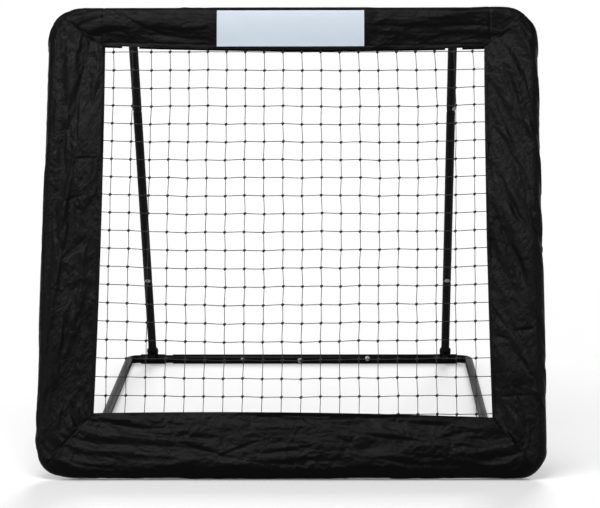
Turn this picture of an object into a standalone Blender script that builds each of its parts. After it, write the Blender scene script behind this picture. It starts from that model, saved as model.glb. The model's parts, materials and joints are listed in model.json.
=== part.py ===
"""Rebounder net: a square steel frame in a black fabric cover, holding a square-mesh net.

The frame leans back on two struts that run down to a U-shaped floor base.
Metres, +Z up, +X to the right, the net faces -Y. The origin is on the floor under the middle.
"""

import math

import bmesh
import bpy
from mathutils import Matrix, Vector

# Driving dimensions
COVER_SIDE = 1.000
LEAN = math.radians(27.0)
BASE_DEPTH = 1.341
FRAME_TUBE_R = 0.0125
BASE_TUBE_R = 0.0095
REAR_BAR_R = 0.0110
WALL = 0.0012
GAP = 0.0003

# Cover
COVER_R = 0.0190
FABRIC = 0.0016
HEM_HALF = 0.0045
FRAME_BEND = 0.036
TOP_BAND = 0.0945
BOTTOM_BAND = 0.1300
LEFT_BAND = 0.1165
RIGHT_BAND = 0.1080
FOLD_HEIGHT = 0.0040

# Label plate, in the middle of the top band
LABEL_WIDTH = 0.3015
LABEL_CENTRE = -0.0032
LABEL_LOW = 0.0050
LABEL_THICK = 0.0008
LABEL_ROUND = 15.0
LABEL_LIFT = LABEL_THICK + 0.0004

# Net and what holds it
NET_CELLS = 16
TWINE = 0.0025
ROPE_R = 0.0020
ROPE_HALF = 0.4330
ROPE_BEND = 0.0080
CORNER_PULL = 0.0024
LOOP_CORD_R = 0.0013
LOOP_CELLS = (2, 7, 13)
LOOP_SLACK = 0.0007

# Base
SIDE_TUBE_X = 0.403
BASE_BEND = 0.028
LEFT_PLUG_END = -0.108
RIGHT_PLUG_END = -0.030
BAR_LEFT = -0.3000
BAR_RIGHT = 0.3185
BAR_PLAY = 0.00045
BAR_RIM = 0.0006

# Struts
STRUT_TOP_X = 0.3305
STRUT_FOOT_X = 0.3475
UPPER_SCREW = 0.2907
UPPER_SCREW_TURN = 40.0
LOWER_SCREW = 0.9174
PLUG_R = 0.0079
PLUG_LENGTH = 0.040
MOUTH = 0.014
NECK = 0.012
SHOULDER = 0.0005
THICKENING = 0.0040

# Tees
SLEEVE_LENGTH = 0.058
SLEEVE_WALL = 0.0020
SLEEVE_PLAY = 0.0006
SLEEVE_RIM = 0.0012
COLLAR_R = 0.0133
COLLAR_REACH = 0.0370
COLLAR_SEAT = 0.0155
COLLAR_LIP = 0.0060
COLLAR_TAPER = 0.0015
COLLAR_WAIST = 0.0011
SOCKET_PLAY = 0.0005
FOOT_FLAT = 0.0005

# Fasteners
SCREW_HEAD_R = 0.0060
SCREW_HEAD = 0.0034
SCREW_SHANK_R = 0.0021
SCREW_LENGTH = 0.0110
# Each screw on the rear bar: its place along the bar, and how far it is turned up
BAR_SCREWS = {"middle": (0.0025, -8.0), "right": (0.1627, 15.0)}
BUTTON_X = -0.1352
BUTTON_TURN = 12.0
BUTTON_R = 0.0030
BUTTON_PROUD = 0.0022
HOLE_PLAY = 0.0004
OVERRUN = 0.0020

# Worked-out places
HALF = COVER_SIDE / 2
TUBE_HALF = HALF - COVER_R
FOOT_SLEEVE_R = BASE_TUBE_R + SLEEVE_WALL
REAR_HEIGHT = FOOT_SLEEVE_R - FOOT_FLAT
HINGE_Y = (COVER_R - FOOT_SLEEVE_R - BASE_DEPTH) / 2
REAR_Y = HINGE_Y + BASE_DEPTH
HINGE = Vector((0.0, HINGE_Y, COVER_R))
UP = Vector((0.0, math.sin(LEAN), math.cos(LEAN)))
BACK = Vector((0.0, math.cos(LEAN), -math.sin(LEAN)))
TOP_AXIS = HINGE + UP * (2 * TUBE_HALF)
REAR_MIDDLE = Vector((0.0, REAR_Y, REAR_HEIGHT))
RIGHT = Vector((1.0, 0.0, 0.0))
FORWARD = Vector((0.0, 1.0, 0.0))
UPRIGHT = Vector((0.0, 0.0, 1.0))
SIDES = ("top", "right", "bottom", "left")

MERGE = 0.00002


def clear_scene():
    for obj in list(bpy.data.objects):
        bpy.data.objects.remove(obj, do_unlink=True)


def new_collection(name):
    group = bpy.data.collections.new(name)
    bpy.context.scene.collection.children.link(group)
    return group


clear_scene()
PARTS = new_collection("rebounder_net")
CUTTERS = new_collection("cutters")
GUIDES = new_collection("pivots")


def material(name, colour, roughness, metallic=0.0):
    mat = bpy.data.materials.new(name)
    mat.use_nodes = True
    shader = mat.node_tree.nodes["Principled BSDF"]
    shader.inputs["Base Color"].default_value = (*colour, 1.0)
    shader.inputs["Roughness"].default_value = roughness
    shader.inputs["Metallic"].default_value = metallic
    mat.diffuse_color = (*colour, 1.0)
    return mat


FINISHES = {
    "cover_fabric": ((0.016, 0.016, 0.017), 0.62),
    "label": ((0.56, 0.63, 0.71), 0.45),
    "net_twine": ((0.02, 0.02, 0.02), 0.75),
    "rope": ((0.03, 0.03, 0.03), 0.8),
    "elastic": ((0.025, 0.025, 0.025), 0.7),
    "black_paint": ((0.015, 0.015, 0.016), 0.28, 0.2),
    "tee_plastic": ((0.02, 0.02, 0.02), 0.4),
    "zinc": ((0.62, 0.63, 0.64), 0.32, 1.0),
    "spring_steel": ((0.4, 0.4, 0.42), 0.35, 1.0),
}
MATERIALS = {name: material(name, *look) for name, look in FINISHES.items()}


def bar_outward(degrees):
    """The way out of the rear bar, turned up from its front."""
    turn = math.radians(degrees)
    return UPRIGHT * math.sin(turn) - FORWARD * math.cos(turn)


BUTTON_PLACE = REAR_MIDDLE + RIGHT * BUTTON_X
BUTTON_OUT = bar_outward(BUTTON_TURN)


def pivot(name, place):
    """An empty on a joint's axis, which carries the pieces that turn about it."""
    empty = bpy.data.objects.new(name, None)
    empty.location = place
    empty.empty_display_size = 0.03
    GUIDES.objects.link(empty)
    return empty


PIVOTS = {
    "frame": pivot("frame_pivot", HINGE),
    "base": pivot("base_pivot", HINGE),
    "left_strut": pivot("left_strut_pivot", TOP_AXIS - RIGHT * STRUT_TOP_X),
    "right_strut": pivot("right_strut_pivot", TOP_AXIS + RIGHT * STRUT_TOP_X),
    "left_foot": pivot("left_foot_pivot", REAR_MIDDLE - RIGHT * STRUT_FOOT_X),
    "right_foot": pivot("right_foot_pivot", REAR_MIDDLE + RIGHT * STRUT_FOOT_X),
    "button": pivot("button_pivot", BUTTON_PLACE + BUTTON_OUT * REAR_BAR_R),
}


def keep(obj, name, finish, carrier):
    """Name a finished piece, give it its material and hang it on its carrier."""
    obj.name = name
    obj.data.name = name
    obj.data.materials.clear()
    obj.data.materials.append(MATERIALS[finish])
    for group in list(obj.users_collection):
        group.objects.unlink(obj)
    PARTS.objects.link(obj)
    obj.parent = PIVOTS[carrier]
    obj.matrix_parent_inverse = Matrix.Translation(-PIVOTS[carrier].location)
    obj.data.shade_smooth()
    obj.data.set_sharp_from_angle(angle=math.radians(40))
    return obj


def as_cutter(obj):
    obj.hide_render = True
    obj.display_type = "WIRE"
    for group in list(obj.users_collection):
        group.objects.unlink(obj)
    CUTTERS.objects.link(obj)
    return obj


def boolean(obj, tool, operation):
    mod = obj.modifiers.new(operation.lower(), "BOOLEAN")
    mod.operation = operation
    mod.object = as_cutter(tool)


def mesh_object(name, mesh):
    obj = bpy.data.objects.new(name, mesh)
    CUTTERS.objects.link(obj)
    return obj


def laid_along(place, direction):
    """A matrix that lays local Z along a direction, at a place."""
    turn = Vector(direction).to_track_quat("Z", "Y").to_matrix().to_4x4()
    return Matrix.Translation(place) @ turn


def turned(name, profile, place, direction, steps=16, ring=False):
    """Turn a (radius, height) profile about Z. A ring's profile closes on itself and makes a pipe."""
    mesh = bpy.data.meshes.new(name)
    points = [(radius, 0.0, height) for radius, height in profile]
    edges = [(i, i + 1) for i in range(len(points) - 1)]
    if ring:
        edges.append((len(points) - 1, 0))
    mesh.from_pydata(points, edges, [])
    obj = mesh_object(name, mesh)
    screw = obj.modifiers.new("turn", "SCREW")
    screw.angle = math.tau
    screw.steps = steps
    screw.render_steps = steps
    screw.use_merge_vertices = True
    screw.merge_threshold = MERGE
    obj.matrix_world = laid_along(place, direction)
    return obj


def rod(name, radius, start, end, steps=16):
    """A plain solid rod between two places."""
    span = Vector(end) - Vector(start)
    profile = [(0.0, span.length), (radius, span.length), (radius, 0.0), (0.0, 0.0)]
    return turned(name, profile, start, span, steps)


def swept(name, points, radii, sides, cyclic=False):
    """A round bar along points, with its own radius at each, as a welded mesh."""
    curve = bpy.data.curves.new(name, "CURVE")
    curve.dimensions = "3D"
    curve.bevel_depth = 1.0
    curve.bevel_resolution = (sides - 4) // 2
    curve.use_fill_caps = not cyclic
    spline = curve.splines.new("POLY")
    spline.points.add(len(points) - 1)
    for point, place, radius in zip(spline.points, points, radii):
        point.co = (*place, 1.0)
        point.radius = radius
    spline.use_cyclic_u = cyclic
    drawn = bpy.data.objects.new(name, curve)
    CUTTERS.objects.link(drawn)
    bpy.context.view_layer.update()
    seen = drawn.evaluated_get(bpy.context.evaluated_depsgraph_get())
    mesh = bpy.data.meshes.new_from_object(seen)
    bpy.data.objects.remove(drawn, do_unlink=True)
    bm = bmesh.new()
    bm.from_mesh(mesh)
    bmesh.ops.remove_doubles(bm, verts=bm.verts, dist=MERGE)
    bmesh.ops.recalc_face_normals(bm, faces=bm.faces)
    bm.to_mesh(mesh)
    bm.free()
    return mesh_object(name, mesh)


def bent_pipe(name, stations, sides):
    """A pipe along stations of (place, outer radius, inner radius), open at both ends."""
    places = [station[0] for station in stations]
    outer = swept(name, places, [station[1] for station in stations], sides)
    first = places[0] + (places[0] - places[1]).normalized() * OVERRUN
    last = places[-1] + (places[-1] - places[-2]).normalized() * OVERRUN
    bore_places = [first, *places[1:-1], last]
    bore = swept(name + "_bore", bore_places, [station[2] for station in stations], sides)
    boolean(outer, bore, "DIFFERENCE")
    return outer


def straight_pipe(name, start, direction, stations, steps=16):
    """A straight pipe along stations of (distance, outer radius, inner radius)."""
    outer = [(station[1], station[0]) for station in reversed(stations)]
    inner = [(station[2], station[0]) for station in stations]
    return turned(name, outer + inner, start, direction, steps, ring=True)


def on_frame(across, along, back):
    """World place from the frame's own plane, measured from the middle of its square."""
    return HINGE + RIGHT * across + UP * (along + TUBE_HALF) + BACK * back


def quarter(turn, along, out):
    """Turn a side's own (along, out) into the frame's (across, along). Side 0 is the top."""
    for _ in range(turn):
        along, out = out, -along
    return along, out


# Frame tubes, hidden in the cover

FRAME_SOCKET_R = 0.0114
FRAME_PLUG_R = 0.0107
FRAME_PLUG_BORE = 0.0095
FRAME_BORE = FRAME_TUBE_R - WALL
FRAME_PLUG = 0.045
SOCKET_RUN = 0.010
FRAME_SIDES = 12
FRAME_JOINT_SCREW = 0.022


def frame_corner(name, turn):
    """One bent corner tube: a socket at the middle of one side, a swaged plug at the next."""
    arc_centre = TUBE_HALF - FRAME_BEND
    stations = [((0.0, TUBE_HALF), FRAME_TUBE_R, FRAME_SOCKET_R)]
    stations.append(((FRAME_PLUG + SOCKET_RUN, TUBE_HALF), FRAME_TUBE_R, FRAME_SOCKET_R))
    steps = 5
    for i in range(steps + 1):
        angle = math.pi / 2 * (1 - i / steps)
        place = (
            arc_centre + FRAME_BEND * math.cos(angle),
            arc_centre + FRAME_BEND * math.sin(angle),
        )
        stations.append((place, FRAME_TUBE_R, FRAME_BORE))
    stations.append(((TUBE_HALF, SHOULDER + THICKENING), FRAME_TUBE_R, FRAME_PLUG_BORE))
    stations.append(((TUBE_HALF, SHOULDER), FRAME_PLUG_R, FRAME_PLUG_BORE))
    stations.append(((TUBE_HALF, -FRAME_PLUG), FRAME_PLUG_R, FRAME_PLUG_BORE))
    placed = [(on_frame(*quarter(turn, *place), 0.0), outer, inner) for place, outer, inner in stations]
    tube = bent_pipe(name, placed, FRAME_SIDES)
    for place in ((FRAME_JOINT_SCREW, TUBE_HALF), (TUBE_HALF, -FRAME_JOINT_SCREW)):
        spot = on_frame(*quarter(turn, *place), 0.0)
        boolean(tube, screw_hole(name + "_hole", spot, BACK, FRAME_TUBE_R), "DIFFERENCE")
    return keep(tube, name, "black_paint", "frame")


# Screws and their holes

def screw_hole(name, axis_place, outward, tube_r):
    """A cutter for one screw, from outside the tube down past the screw's point."""
    start = axis_place + outward * (tube_r + OVERRUN)
    end = axis_place + outward * (tube_r - SCREW_LENGTH - 3 * HOLE_PLAY)
    return rod(name, SCREW_SHANK_R + HOLE_PLAY, end, start, 8)


def button_hole(name):
    """A cutter for the snap button, through the front wall of the rear bar and the tube in it."""
    return rod(name, BUTTON_R + HOLE_PLAY, BUTTON_PLACE, BUTTON_PLACE + BUTTON_OUT * (REAR_BAR_R + OVERRUN), 12)


def pan_screw(name, axis_place, outward, tube_r, steps=12):
    """A pan-head screw with a recess, seated on a tube and pointing at its axis."""
    profile = [
        (0.0, SCREW_HEAD * 0.62),
        (SCREW_HEAD_R * 0.34, SCREW_HEAD * 0.97),
        (SCREW_HEAD_R * 0.70, SCREW_HEAD * 0.84),
        (SCREW_HEAD_R, SCREW_HEAD * 0.30),
        (SCREW_HEAD_R, 0.0),
        (SCREW_SHANK_R, 0.0),
        (SCREW_SHANK_R, -SCREW_LENGTH * 0.8),
        (0.0, -SCREW_LENGTH),
    ]
    return turned(name, profile, axis_place + outward * (tube_r + GAP), outward, steps)


def frame_tubes():
    for turn, name in enumerate(("top_right", "bottom_right", "bottom_left", "top_left")):
        frame_corner("frame_corner_" + name, turn)
    for turn, side in enumerate(SIDES):
        spot = on_frame(*quarter(turn, FRAME_JOINT_SCREW, TUBE_HALF), 0.0)
        name = "frame_joint_screw_" + side
        keep(pan_screw(name, spot, BACK, FRAME_TUBE_R, 10), name, "zinc", "frame")


# Cover: four mitred fabric sleeves

FRONT_STEPS = 5
ARC_STEPS = 6
BACK_STEPS = 2
SLOT_HALF = 0.0180
STRAIGHT_KEEP = 0.362
MITRE_GAP = 0.0009
FOLD_REACH = 0.40
BAND_CELLS = 12
BAND_REACH = 0.38
TOP_BAND_REACH = 0.40
BANDS = {
    # name: (quarter turns, own width, width of the band at its start, width at its end)
    "cover_top": (0, TOP_BAND, LEFT_BAND, RIGHT_BAND),
    "cover_right": (1, RIGHT_BAND, TOP_BAND, BOTTOM_BAND),
    "cover_bottom": (2, BOTTOM_BAND, RIGHT_BAND, LEFT_BAND),
    "cover_left": (3, LEFT_BAND, BOTTOM_BAND, TOP_BAND),
}


def band_places(start_width, end_width, splits):
    """Section places of a band, mitre to mitre: (tube along, tube out, outward, hem along)."""
    arc_centre = TUBE_HALF - FRAME_BEND
    reach = arc_centre + FRAME_BEND * math.sin(math.pi / 4)
    places = []
    for degrees in (45.0, 67.5):
        angle = math.radians(degrees)
        outward = (math.cos(angle), math.sin(angle))
        centre = (arc_centre + FRAME_BEND * outward[0], arc_centre + FRAME_BEND * outward[1])
        places.append((centre, outward))
    left = [((-centre[0], centre[1]), (-outward[0], outward[1])) for centre, outward in places]
    middle = [((along, TUBE_HALF), (0.0, 1.0)) for along in [-arc_centre, *splits, arc_centre]]
    sections = []
    for centre, outward in left + middle + places[::-1]:
        hem_end = HALF - (start_width if centre[0] < 0 else end_width)
        beyond = max(0.0, abs(centre[0]) - STRAIGHT_KEEP) / (reach - STRAIGHT_KEEP)
        hem = min(abs(centre[0]), STRAIGHT_KEEP) + beyond * (hem_end - STRAIGHT_KEEP)
        sections.append((centre, outward, math.copysign(hem, centre[0])))
    return sections


def fold(along, step, turn):
    """Height of the long soft folds on a band's front, zero at its hem, edge and mitres."""
    ends = max(0.0, 1.0 - (abs(along) / FOLD_REACH) ** 4)
    if turn == 0:
        beside_label = abs(along - LABEL_CENTRE) - LABEL_WIDTH / 2 - 0.03
        ends *= min(1.0, max(0.0, beside_label / 0.06))
    rise = math.sin(math.pi * step)
    slow = math.sin(9.0 * along + 1.7 * turn) + 0.6 * math.sin(23.0 * along + turn)
    ridge = math.sin(2 * math.pi * (1.3 * step + 0.22 * slow) + turn)
    return FOLD_HEIGHT * ends * rise * (0.5 + 0.5 * ridge)


def sleeve_point(section, out_hem, step, layer, turn, lift=0.0):
    """A place on a sleeve's outer face. Layer is front, arc or back; step runs 0 to 1 along it."""
    centre, outward, hem_along = section
    if layer == "arc":
        angle = math.pi * (step - 0.5)
        reach = (COVER_R + lift) * math.cos(angle)
        along = centre[0] + outward[0] * reach
        out = centre[1] + outward[1] * reach
        back = (COVER_R + lift) * math.sin(angle)
        return along, out, back
    along = hem_along + (centre[0] - hem_along) * step
    out = out_hem + (centre[1] - out_hem) * step
    height = HEM_HALF + (COVER_R - HEM_HALF) * step + lift
    if layer == "front":
        return along, out, -height - fold(along, step, turn)
    return along, out, height


def sheet(name, turn, sections, rows, out_hem, thickness, dropped=(), lift=0.0):
    """A grid laid over a band's outer face, holes left out, and given its thickness inwards."""
    bm = bmesh.new()
    last = (len(sections) - 1, len(rows) - 1)
    bmesh.ops.create_grid(bm, x_segments=last[0], y_segments=last[1], size=0.5)
    cells = {}
    for vert in bm.verts:
        i = round((vert.co.x + 0.5) * last[0])
        j = round((vert.co.y + 0.5) * last[1])
        layer, step = rows[j]
        along, out, back = sleeve_point(sections[i], out_hem, step, layer, turn, lift)
        if i in (0, last[0]):
            along += MITRE_GAP if i == 0 else -MITRE_GAP
        cells[vert] = (i, j)
        vert.co = on_frame(*quarter(turn, along, out), back)
    holes = []
    for face in bm.faces:
        corner = (min(cells[v][0] for v in face.verts), min(cells[v][1] for v in face.verts))
        if corner in dropped:
            holes.append(face)
    bmesh.ops.delete(bm, geom=holes, context="FACES")
    bm.faces.ensure_lookup_table()
    bm.normal_update()
    outward = on_frame(0.0, 0.0, -1.0) - on_frame(0.0, 0.0, 0.0)
    front = min(bm.faces, key=lambda face: (face.calc_center_median() - HINGE).dot(BACK))
    if front.normal.dot(outward) < 0:
        bmesh.ops.reverse_faces(bm, faces=bm.faces)
    mesh = bpy.data.meshes.new(name)
    bm.to_mesh(mesh)
    bm.free()
    obj = mesh_object(name, mesh)
    solid = obj.modifiers.new("thickness", "SOLIDIFY")
    solid.thickness = thickness
    solid.offset = -1.0
    solid.use_even_offset = True
    return obj


def spread(low, high, count):
    return [low + (high - low) * i / count for i in range(count + 1)]


def cover_bands():
    rows = [("front", i / FRONT_STEPS) for i in range(FRONT_STEPS)]
    rows += [("arc", i / ARC_STEPS) for i in range(ARC_STEPS)]
    rows += [("back", 1 - i / BACK_STEPS) for i in range(BACK_STEPS + 1)]
    for name, (turn, width, start_width, end_width) in BANDS.items():
        splits = spread(-BAND_REACH, BAND_REACH, BAND_CELLS)
        dropped = set()
        if name == "cover_top":
            low, high = STRUT_TOP_X - SLOT_HALF, STRUT_TOP_X + SLOT_HALF
            between = spread(-low, low, BAND_CELLS - 3)
            splits = [-TOP_BAND_REACH, -high, *between, high, TOP_BAND_REACH]
        if name == "cover_bottom":
            slot = SIDE_TUBE_X - SLOT_HALF
            splits = spread(-slot, slot, BAND_CELLS)
        sections = band_places(start_width, end_width, splits)
        for i in range(len(sections) - 1):
            middle = abs(sections[i][0][0] + sections[i + 1][0][0]) / 2
            strut_slot = name == "cover_top" and abs(middle - STRUT_TOP_X) < SLOT_HALF
            base_slot = name == "cover_bottom" and middle > SIDE_TUBE_X - SLOT_HALF
            first_cut = FRONT_STEPS + ARC_STEPS - (2 if strut_slot else 1)
            if strut_slot or base_slot:
                dropped.update((i, j) for j in range(first_cut, len(rows)))
        band = sheet(name, turn, sections, rows, HALF - width, FABRIC, dropped)
        keep(band, name, "cover_fabric", "frame")


def label_plate():
    """The stitched label, lying on the top band's front and over the start of its edge."""
    hem = HALF - TOP_BAND
    low = LABEL_LOW / (TUBE_HALF - hem)
    rows = [("front", low + (1 - low) * i / 3) for i in range(3)]
    rows += [("arc", 0.0), ("arc", LABEL_ROUND / 180.0)]
    edge = LABEL_WIDTH / 2
    alongs = [LABEL_CENTRE - edge + LABEL_WIDTH * i / 6 for i in range(7)]
    sections = [((along, TUBE_HALF), (0.0, 1.0), along) for along in alongs]
    plate = sheet("label_plate", 0, sections, rows, hem, LABEL_THICK, lift=LABEL_LIFT)
    keep(plate, "label_plate", "label", "frame")


# Net, border rope and the loops that hold them to the tubes

def net():
    wire = TWINE / 2
    half = ROPE_HALF - ROPE_R - GAP - wire
    bm = bmesh.new()
    bmesh.ops.create_grid(bm, x_segments=NET_CELLS, y_segments=NET_CELLS, size=half)
    for vert in bm.verts:
        at_corner = abs(vert.co.x * vert.co.y) > (half - wire) ** 2
        pull = 1.0 - CORNER_PULL / half if at_corner else 1.0
        vert.co = on_frame(vert.co.x * pull, vert.co.y * pull, 0.0)
    mesh = bpy.data.meshes.new("net")
    bm.to_mesh(mesh)
    bm.free()
    obj = mesh_object("net", mesh)
    wires = obj.modifiers.new("wires", "WIREFRAME")
    wires.thickness = TWINE
    wires.use_boundary = True
    wires.use_replace = True
    wires.use_even_offset = True
    keep(obj, "net", "net_twine", "frame")
    return half


def border_rope():
    arc_centre = ROPE_HALF - ROPE_BEND
    points = []
    for turn in range(4):
        for i in range(4):
            angle = math.pi / 2 * (1 - i / 3)
            place = (arc_centre + ROPE_BEND * math.cos(angle), arc_centre + ROPE_BEND * math.sin(angle))
            points.append(on_frame(*quarter(turn, *place), 0.0))
    rope = swept("net_border_rope", points, [ROPE_R] * len(points), 6, cyclic=True)
    keep(rope, "net_border_rope", "rope", "frame")


def lacing_loops(net_half):
    """Elastic loops, each round the frame tube at one end and the rope and net edge at the other."""
    big = FRAME_TUBE_R + LOOP_CORD_R + LOOP_SLACK
    small = TWINE / math.sqrt(2) + LOOP_CORD_R + LOOP_SLACK
    reach = TUBE_HALF - net_half
    tangent = math.acos((big - small) / reach)
    for turn, side in enumerate(SIDES):
        for number, cell in enumerate(LOOP_CELLS, 1):
            along = -net_half + (cell + 0.5) * 2 * net_half / NET_CELLS
            points = []
            for i in range(9):
                angle = (math.pi - tangent) * (1 - i / 4)
                out = TUBE_HALF + big * math.cos(angle)
                points.append(on_frame(*quarter(turn, along, out), big * math.sin(angle)))
            for i in range(4):
                angle = -(math.pi - tangent) - 2 * tangent * i / 3
                out = net_half + small * math.cos(angle)
                points.append(on_frame(*quarter(turn, along, out), small * math.sin(angle)))
            name = f"lacing_loop_{side}_{number}"
            loop = swept(name, points, [LOOP_CORD_R] * len(points), 4, cyclic=True)
            keep(loop, name, "elastic", "frame")


# Tee fittings

def tee(name, carrier, centre, direction, bar_r, branch_r):
    """A moulded tee: a sleeve that turns on a bar, and a collar that takes a tube's end."""
    sleeve_r = bar_r + SLEEVE_WALL
    waist_r = COLLAR_R - COLLAR_WAIST
    half = SLEEVE_LENGTH / 2
    sleeve_profile = [
        (0.0, half),
        (sleeve_r - SLEEVE_RIM, half),
        (sleeve_r, half - SLEEVE_RIM),
        (sleeve_r, -half + SLEEVE_RIM),
        (sleeve_r - SLEEVE_RIM, -half),
        (0.0, -half),
    ]
    body = turned(name, sleeve_profile, centre, RIGHT, 16)
    collar_profile = [
        (0.0, COLLAR_REACH),
        (COLLAR_R, COLLAR_REACH),
        (COLLAR_R, COLLAR_REACH - COLLAR_LIP),
        (waist_r, COLLAR_REACH - COLLAR_LIP - COLLAR_TAPER),
        (waist_r, COLLAR_SEAT),
        (min(waist_r, sleeve_r - SLEEVE_RIM), 0.0),
        (0.0, 0.0),
    ]
    collar = turned(name + "_collar", collar_profile, centre, direction, 18)
    boolean(body, collar, "UNION")
    if centre.z < sleeve_r:
        boolean(body, floor_block(name + "_foot", centre), "DIFFERENCE")
    seat = centre + direction * (COLLAR_SEAT - GAP)
    mouth = centre + direction * (COLLAR_REACH + OVERRUN)
    boolean(body, rod(name + "_seat", branch_r + SOCKET_PLAY, seat, mouth, 18), "DIFFERENCE")
    past_end = RIGHT * (half + OVERRUN)
    bar_bore = rod(name + "_bar_bore", bar_r + SLEEVE_PLAY, centre - past_end, centre + past_end, 16)
    boolean(body, bar_bore, "DIFFERENCE")
    keep(body, name, "tee_plastic", carrier)


def floor_block(name, centre):
    """A cutter below the floor, which leaves a tee the narrow flat that it stands on."""
    size = SLEEVE_LENGTH + 2 * OVERRUN
    mesh = bpy.data.meshes.new(name)
    bm = bmesh.new()
    bmesh.ops.create_cube(bm, size=size)
    bm.to_mesh(mesh)
    bm.free()
    block = mesh_object(name, mesh)
    block.location = (centre.x, centre.y, -size / 2)
    return block


# Base

def base_corner(side):
    """One bent base tube: forward to the frame's tee, back and round into the rear bar."""
    sign = -1.0 if side == "left" else 1.0
    front = Vector((sign * SIDE_TUBE_X, HINGE_Y, HINGE.z))
    along = (Vector((sign * SIDE_TUBE_X, REAR_Y, REAR_HEIGHT)) - front).normalized()
    bore = BASE_TUBE_R - WALL
    places = [front + along * COLLAR_SEAT]
    arc_x = SIDE_TUBE_X - BASE_BEND
    steps = 6
    for i in range(steps + 1):
        angle = math.pi / 2 * i / steps
        x = arc_x + BASE_BEND * math.cos(angle)
        y = REAR_Y - BASE_BEND + BASE_BEND * math.sin(angle)
        height = HINGE.z + (REAR_HEIGHT - HINGE.z) * (y - HINGE_Y) / BASE_DEPTH
        places.append(Vector((sign * x, y, height)))
    plug_end = LEFT_PLUG_END if side == "left" else RIGHT_PLUG_END
    places.append(Vector((plug_end, REAR_Y, REAR_HEIGHT)))
    name = "base_corner_" + side
    pipe = bent_pipe(name, [(place, BASE_TUBE_R, bore) for place in places], 16)
    if side == "left":
        boolean(pipe, button_hole(name + "_button_hole"), "DIFFERENCE")
    else:
        for x, degrees in BAR_SCREWS.values():
            hole = screw_hole(name + "_hole", REAR_MIDDLE + RIGHT * x, bar_outward(degrees), REAR_BAR_R)
            boolean(pipe, hole, "DIFFERENCE")
    keep(pipe, name, "black_paint", "base")


def rear_bar():
    """The straight bar at the back, with a rounded rim at each end."""
    bore = BASE_TUBE_R + BAR_PLAY
    length = BAR_RIGHT - BAR_LEFT
    stations = [
        (0.0, REAR_BAR_R - BAR_RIM, bore),
        (BAR_RIM, REAR_BAR_R, bore),
        (length - BAR_RIM, REAR_BAR_R, bore),
        (length, REAR_BAR_R - BAR_RIM, bore),
    ]
    bar = straight_pipe("rear_bar", REAR_MIDDLE + RIGHT * BAR_LEFT, RIGHT, stations, 20)
    boolean(bar, button_hole("bar_button_hole"), "DIFFERENCE")
    for place, (x, degrees) in BAR_SCREWS.items():
        spot = REAR_MIDDLE + RIGHT * x
        outward = bar_outward(degrees)
        boolean(bar, screw_hole("bar_hole", spot, outward, REAR_BAR_R), "DIFFERENCE")
        name = "rear_bar_screw_" + place
        keep(pan_screw(name, spot, outward, REAR_BAR_R), name, "zinc", "base")
    keep(bar, "rear_bar", "black_paint", "base")


SPRING_THICK = 0.0006
SPRING_WIDTH = 0.0060
SPRING_ARM = 0.0440
SPRING_BOW = 0.0040
SPRING_LAP = 0.0050
BUTTON_FOOT = 0.0066


def snap_button():
    """The domed button that locks the left base tube in the rear bar."""
    tip = REAR_BAR_R + BUTTON_PROUD
    dome_r = BUTTON_R * 0.67
    profile = [(BUTTON_R, BUTTON_FOOT), (0.0, BUTTON_FOOT)]
    for degrees in (0.0, 30.0, 60.0, 90.0):
        angle = math.radians(degrees)
        place = (BUTTON_R * math.cos(angle), tip - dome_r * (1.0 - math.sin(angle)))
        profile.insert(0, place)
    button = turned("snap_button", profile, BUTTON_PLACE, BUTTON_OUT, 12)
    keep(button, "snap_button", "zinc", "button")


def button_spring():
    """The bent leaf inside the tube: one arm behind the button, the other on the far wall."""
    front_arm = BUTTON_FOOT - GAP
    far_wall = BASE_TUBE_R - WALL - 1.5 * SPRING_THICK
    bow_middle = SPRING_THICK
    bow_half = 3 * SPRING_THICK
    path = [
        (BUTTON_X + 2 * SPRING_LAP, -front_arm),
        (BUTTON_X - SPRING_LAP, -front_arm),
        (BUTTON_X - SPRING_ARM, bow_middle - bow_half),
        (BUTTON_X - SPRING_ARM - SPRING_BOW, bow_middle),
        (BUTTON_X - SPRING_ARM, bow_middle + bow_half),
        (BUTTON_X + 2 * SPRING_LAP, far_wall),
    ]
    across = RIGHT.cross(BUTTON_OUT)
    bm = bmesh.new()
    rows = []
    for lift in (SPRING_WIDTH / 2, -SPRING_WIDTH / 2):
        row = [bm.verts.new(Vector((x, REAR_Y, REAR_HEIGHT)) - BUTTON_OUT * y + across * lift) for x, y in path]
        rows.append(row)
    for i in range(len(path) - 1):
        bm.faces.new((rows[0][i], rows[0][i + 1], rows[1][i + 1], rows[1][i]))
    mesh = bpy.data.meshes.new("button_spring")
    bm.to_mesh(mesh)
    bm.free()
    leaf = mesh_object("button_spring", mesh)
    solid = leaf.modifiers.new("thickness", "SOLIDIFY")
    solid.thickness = SPRING_THICK
    solid.offset = 1.0
    solid.use_even_offset = True
    keep(leaf, "button_spring", "spring_steel", "base")


# Struts

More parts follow.
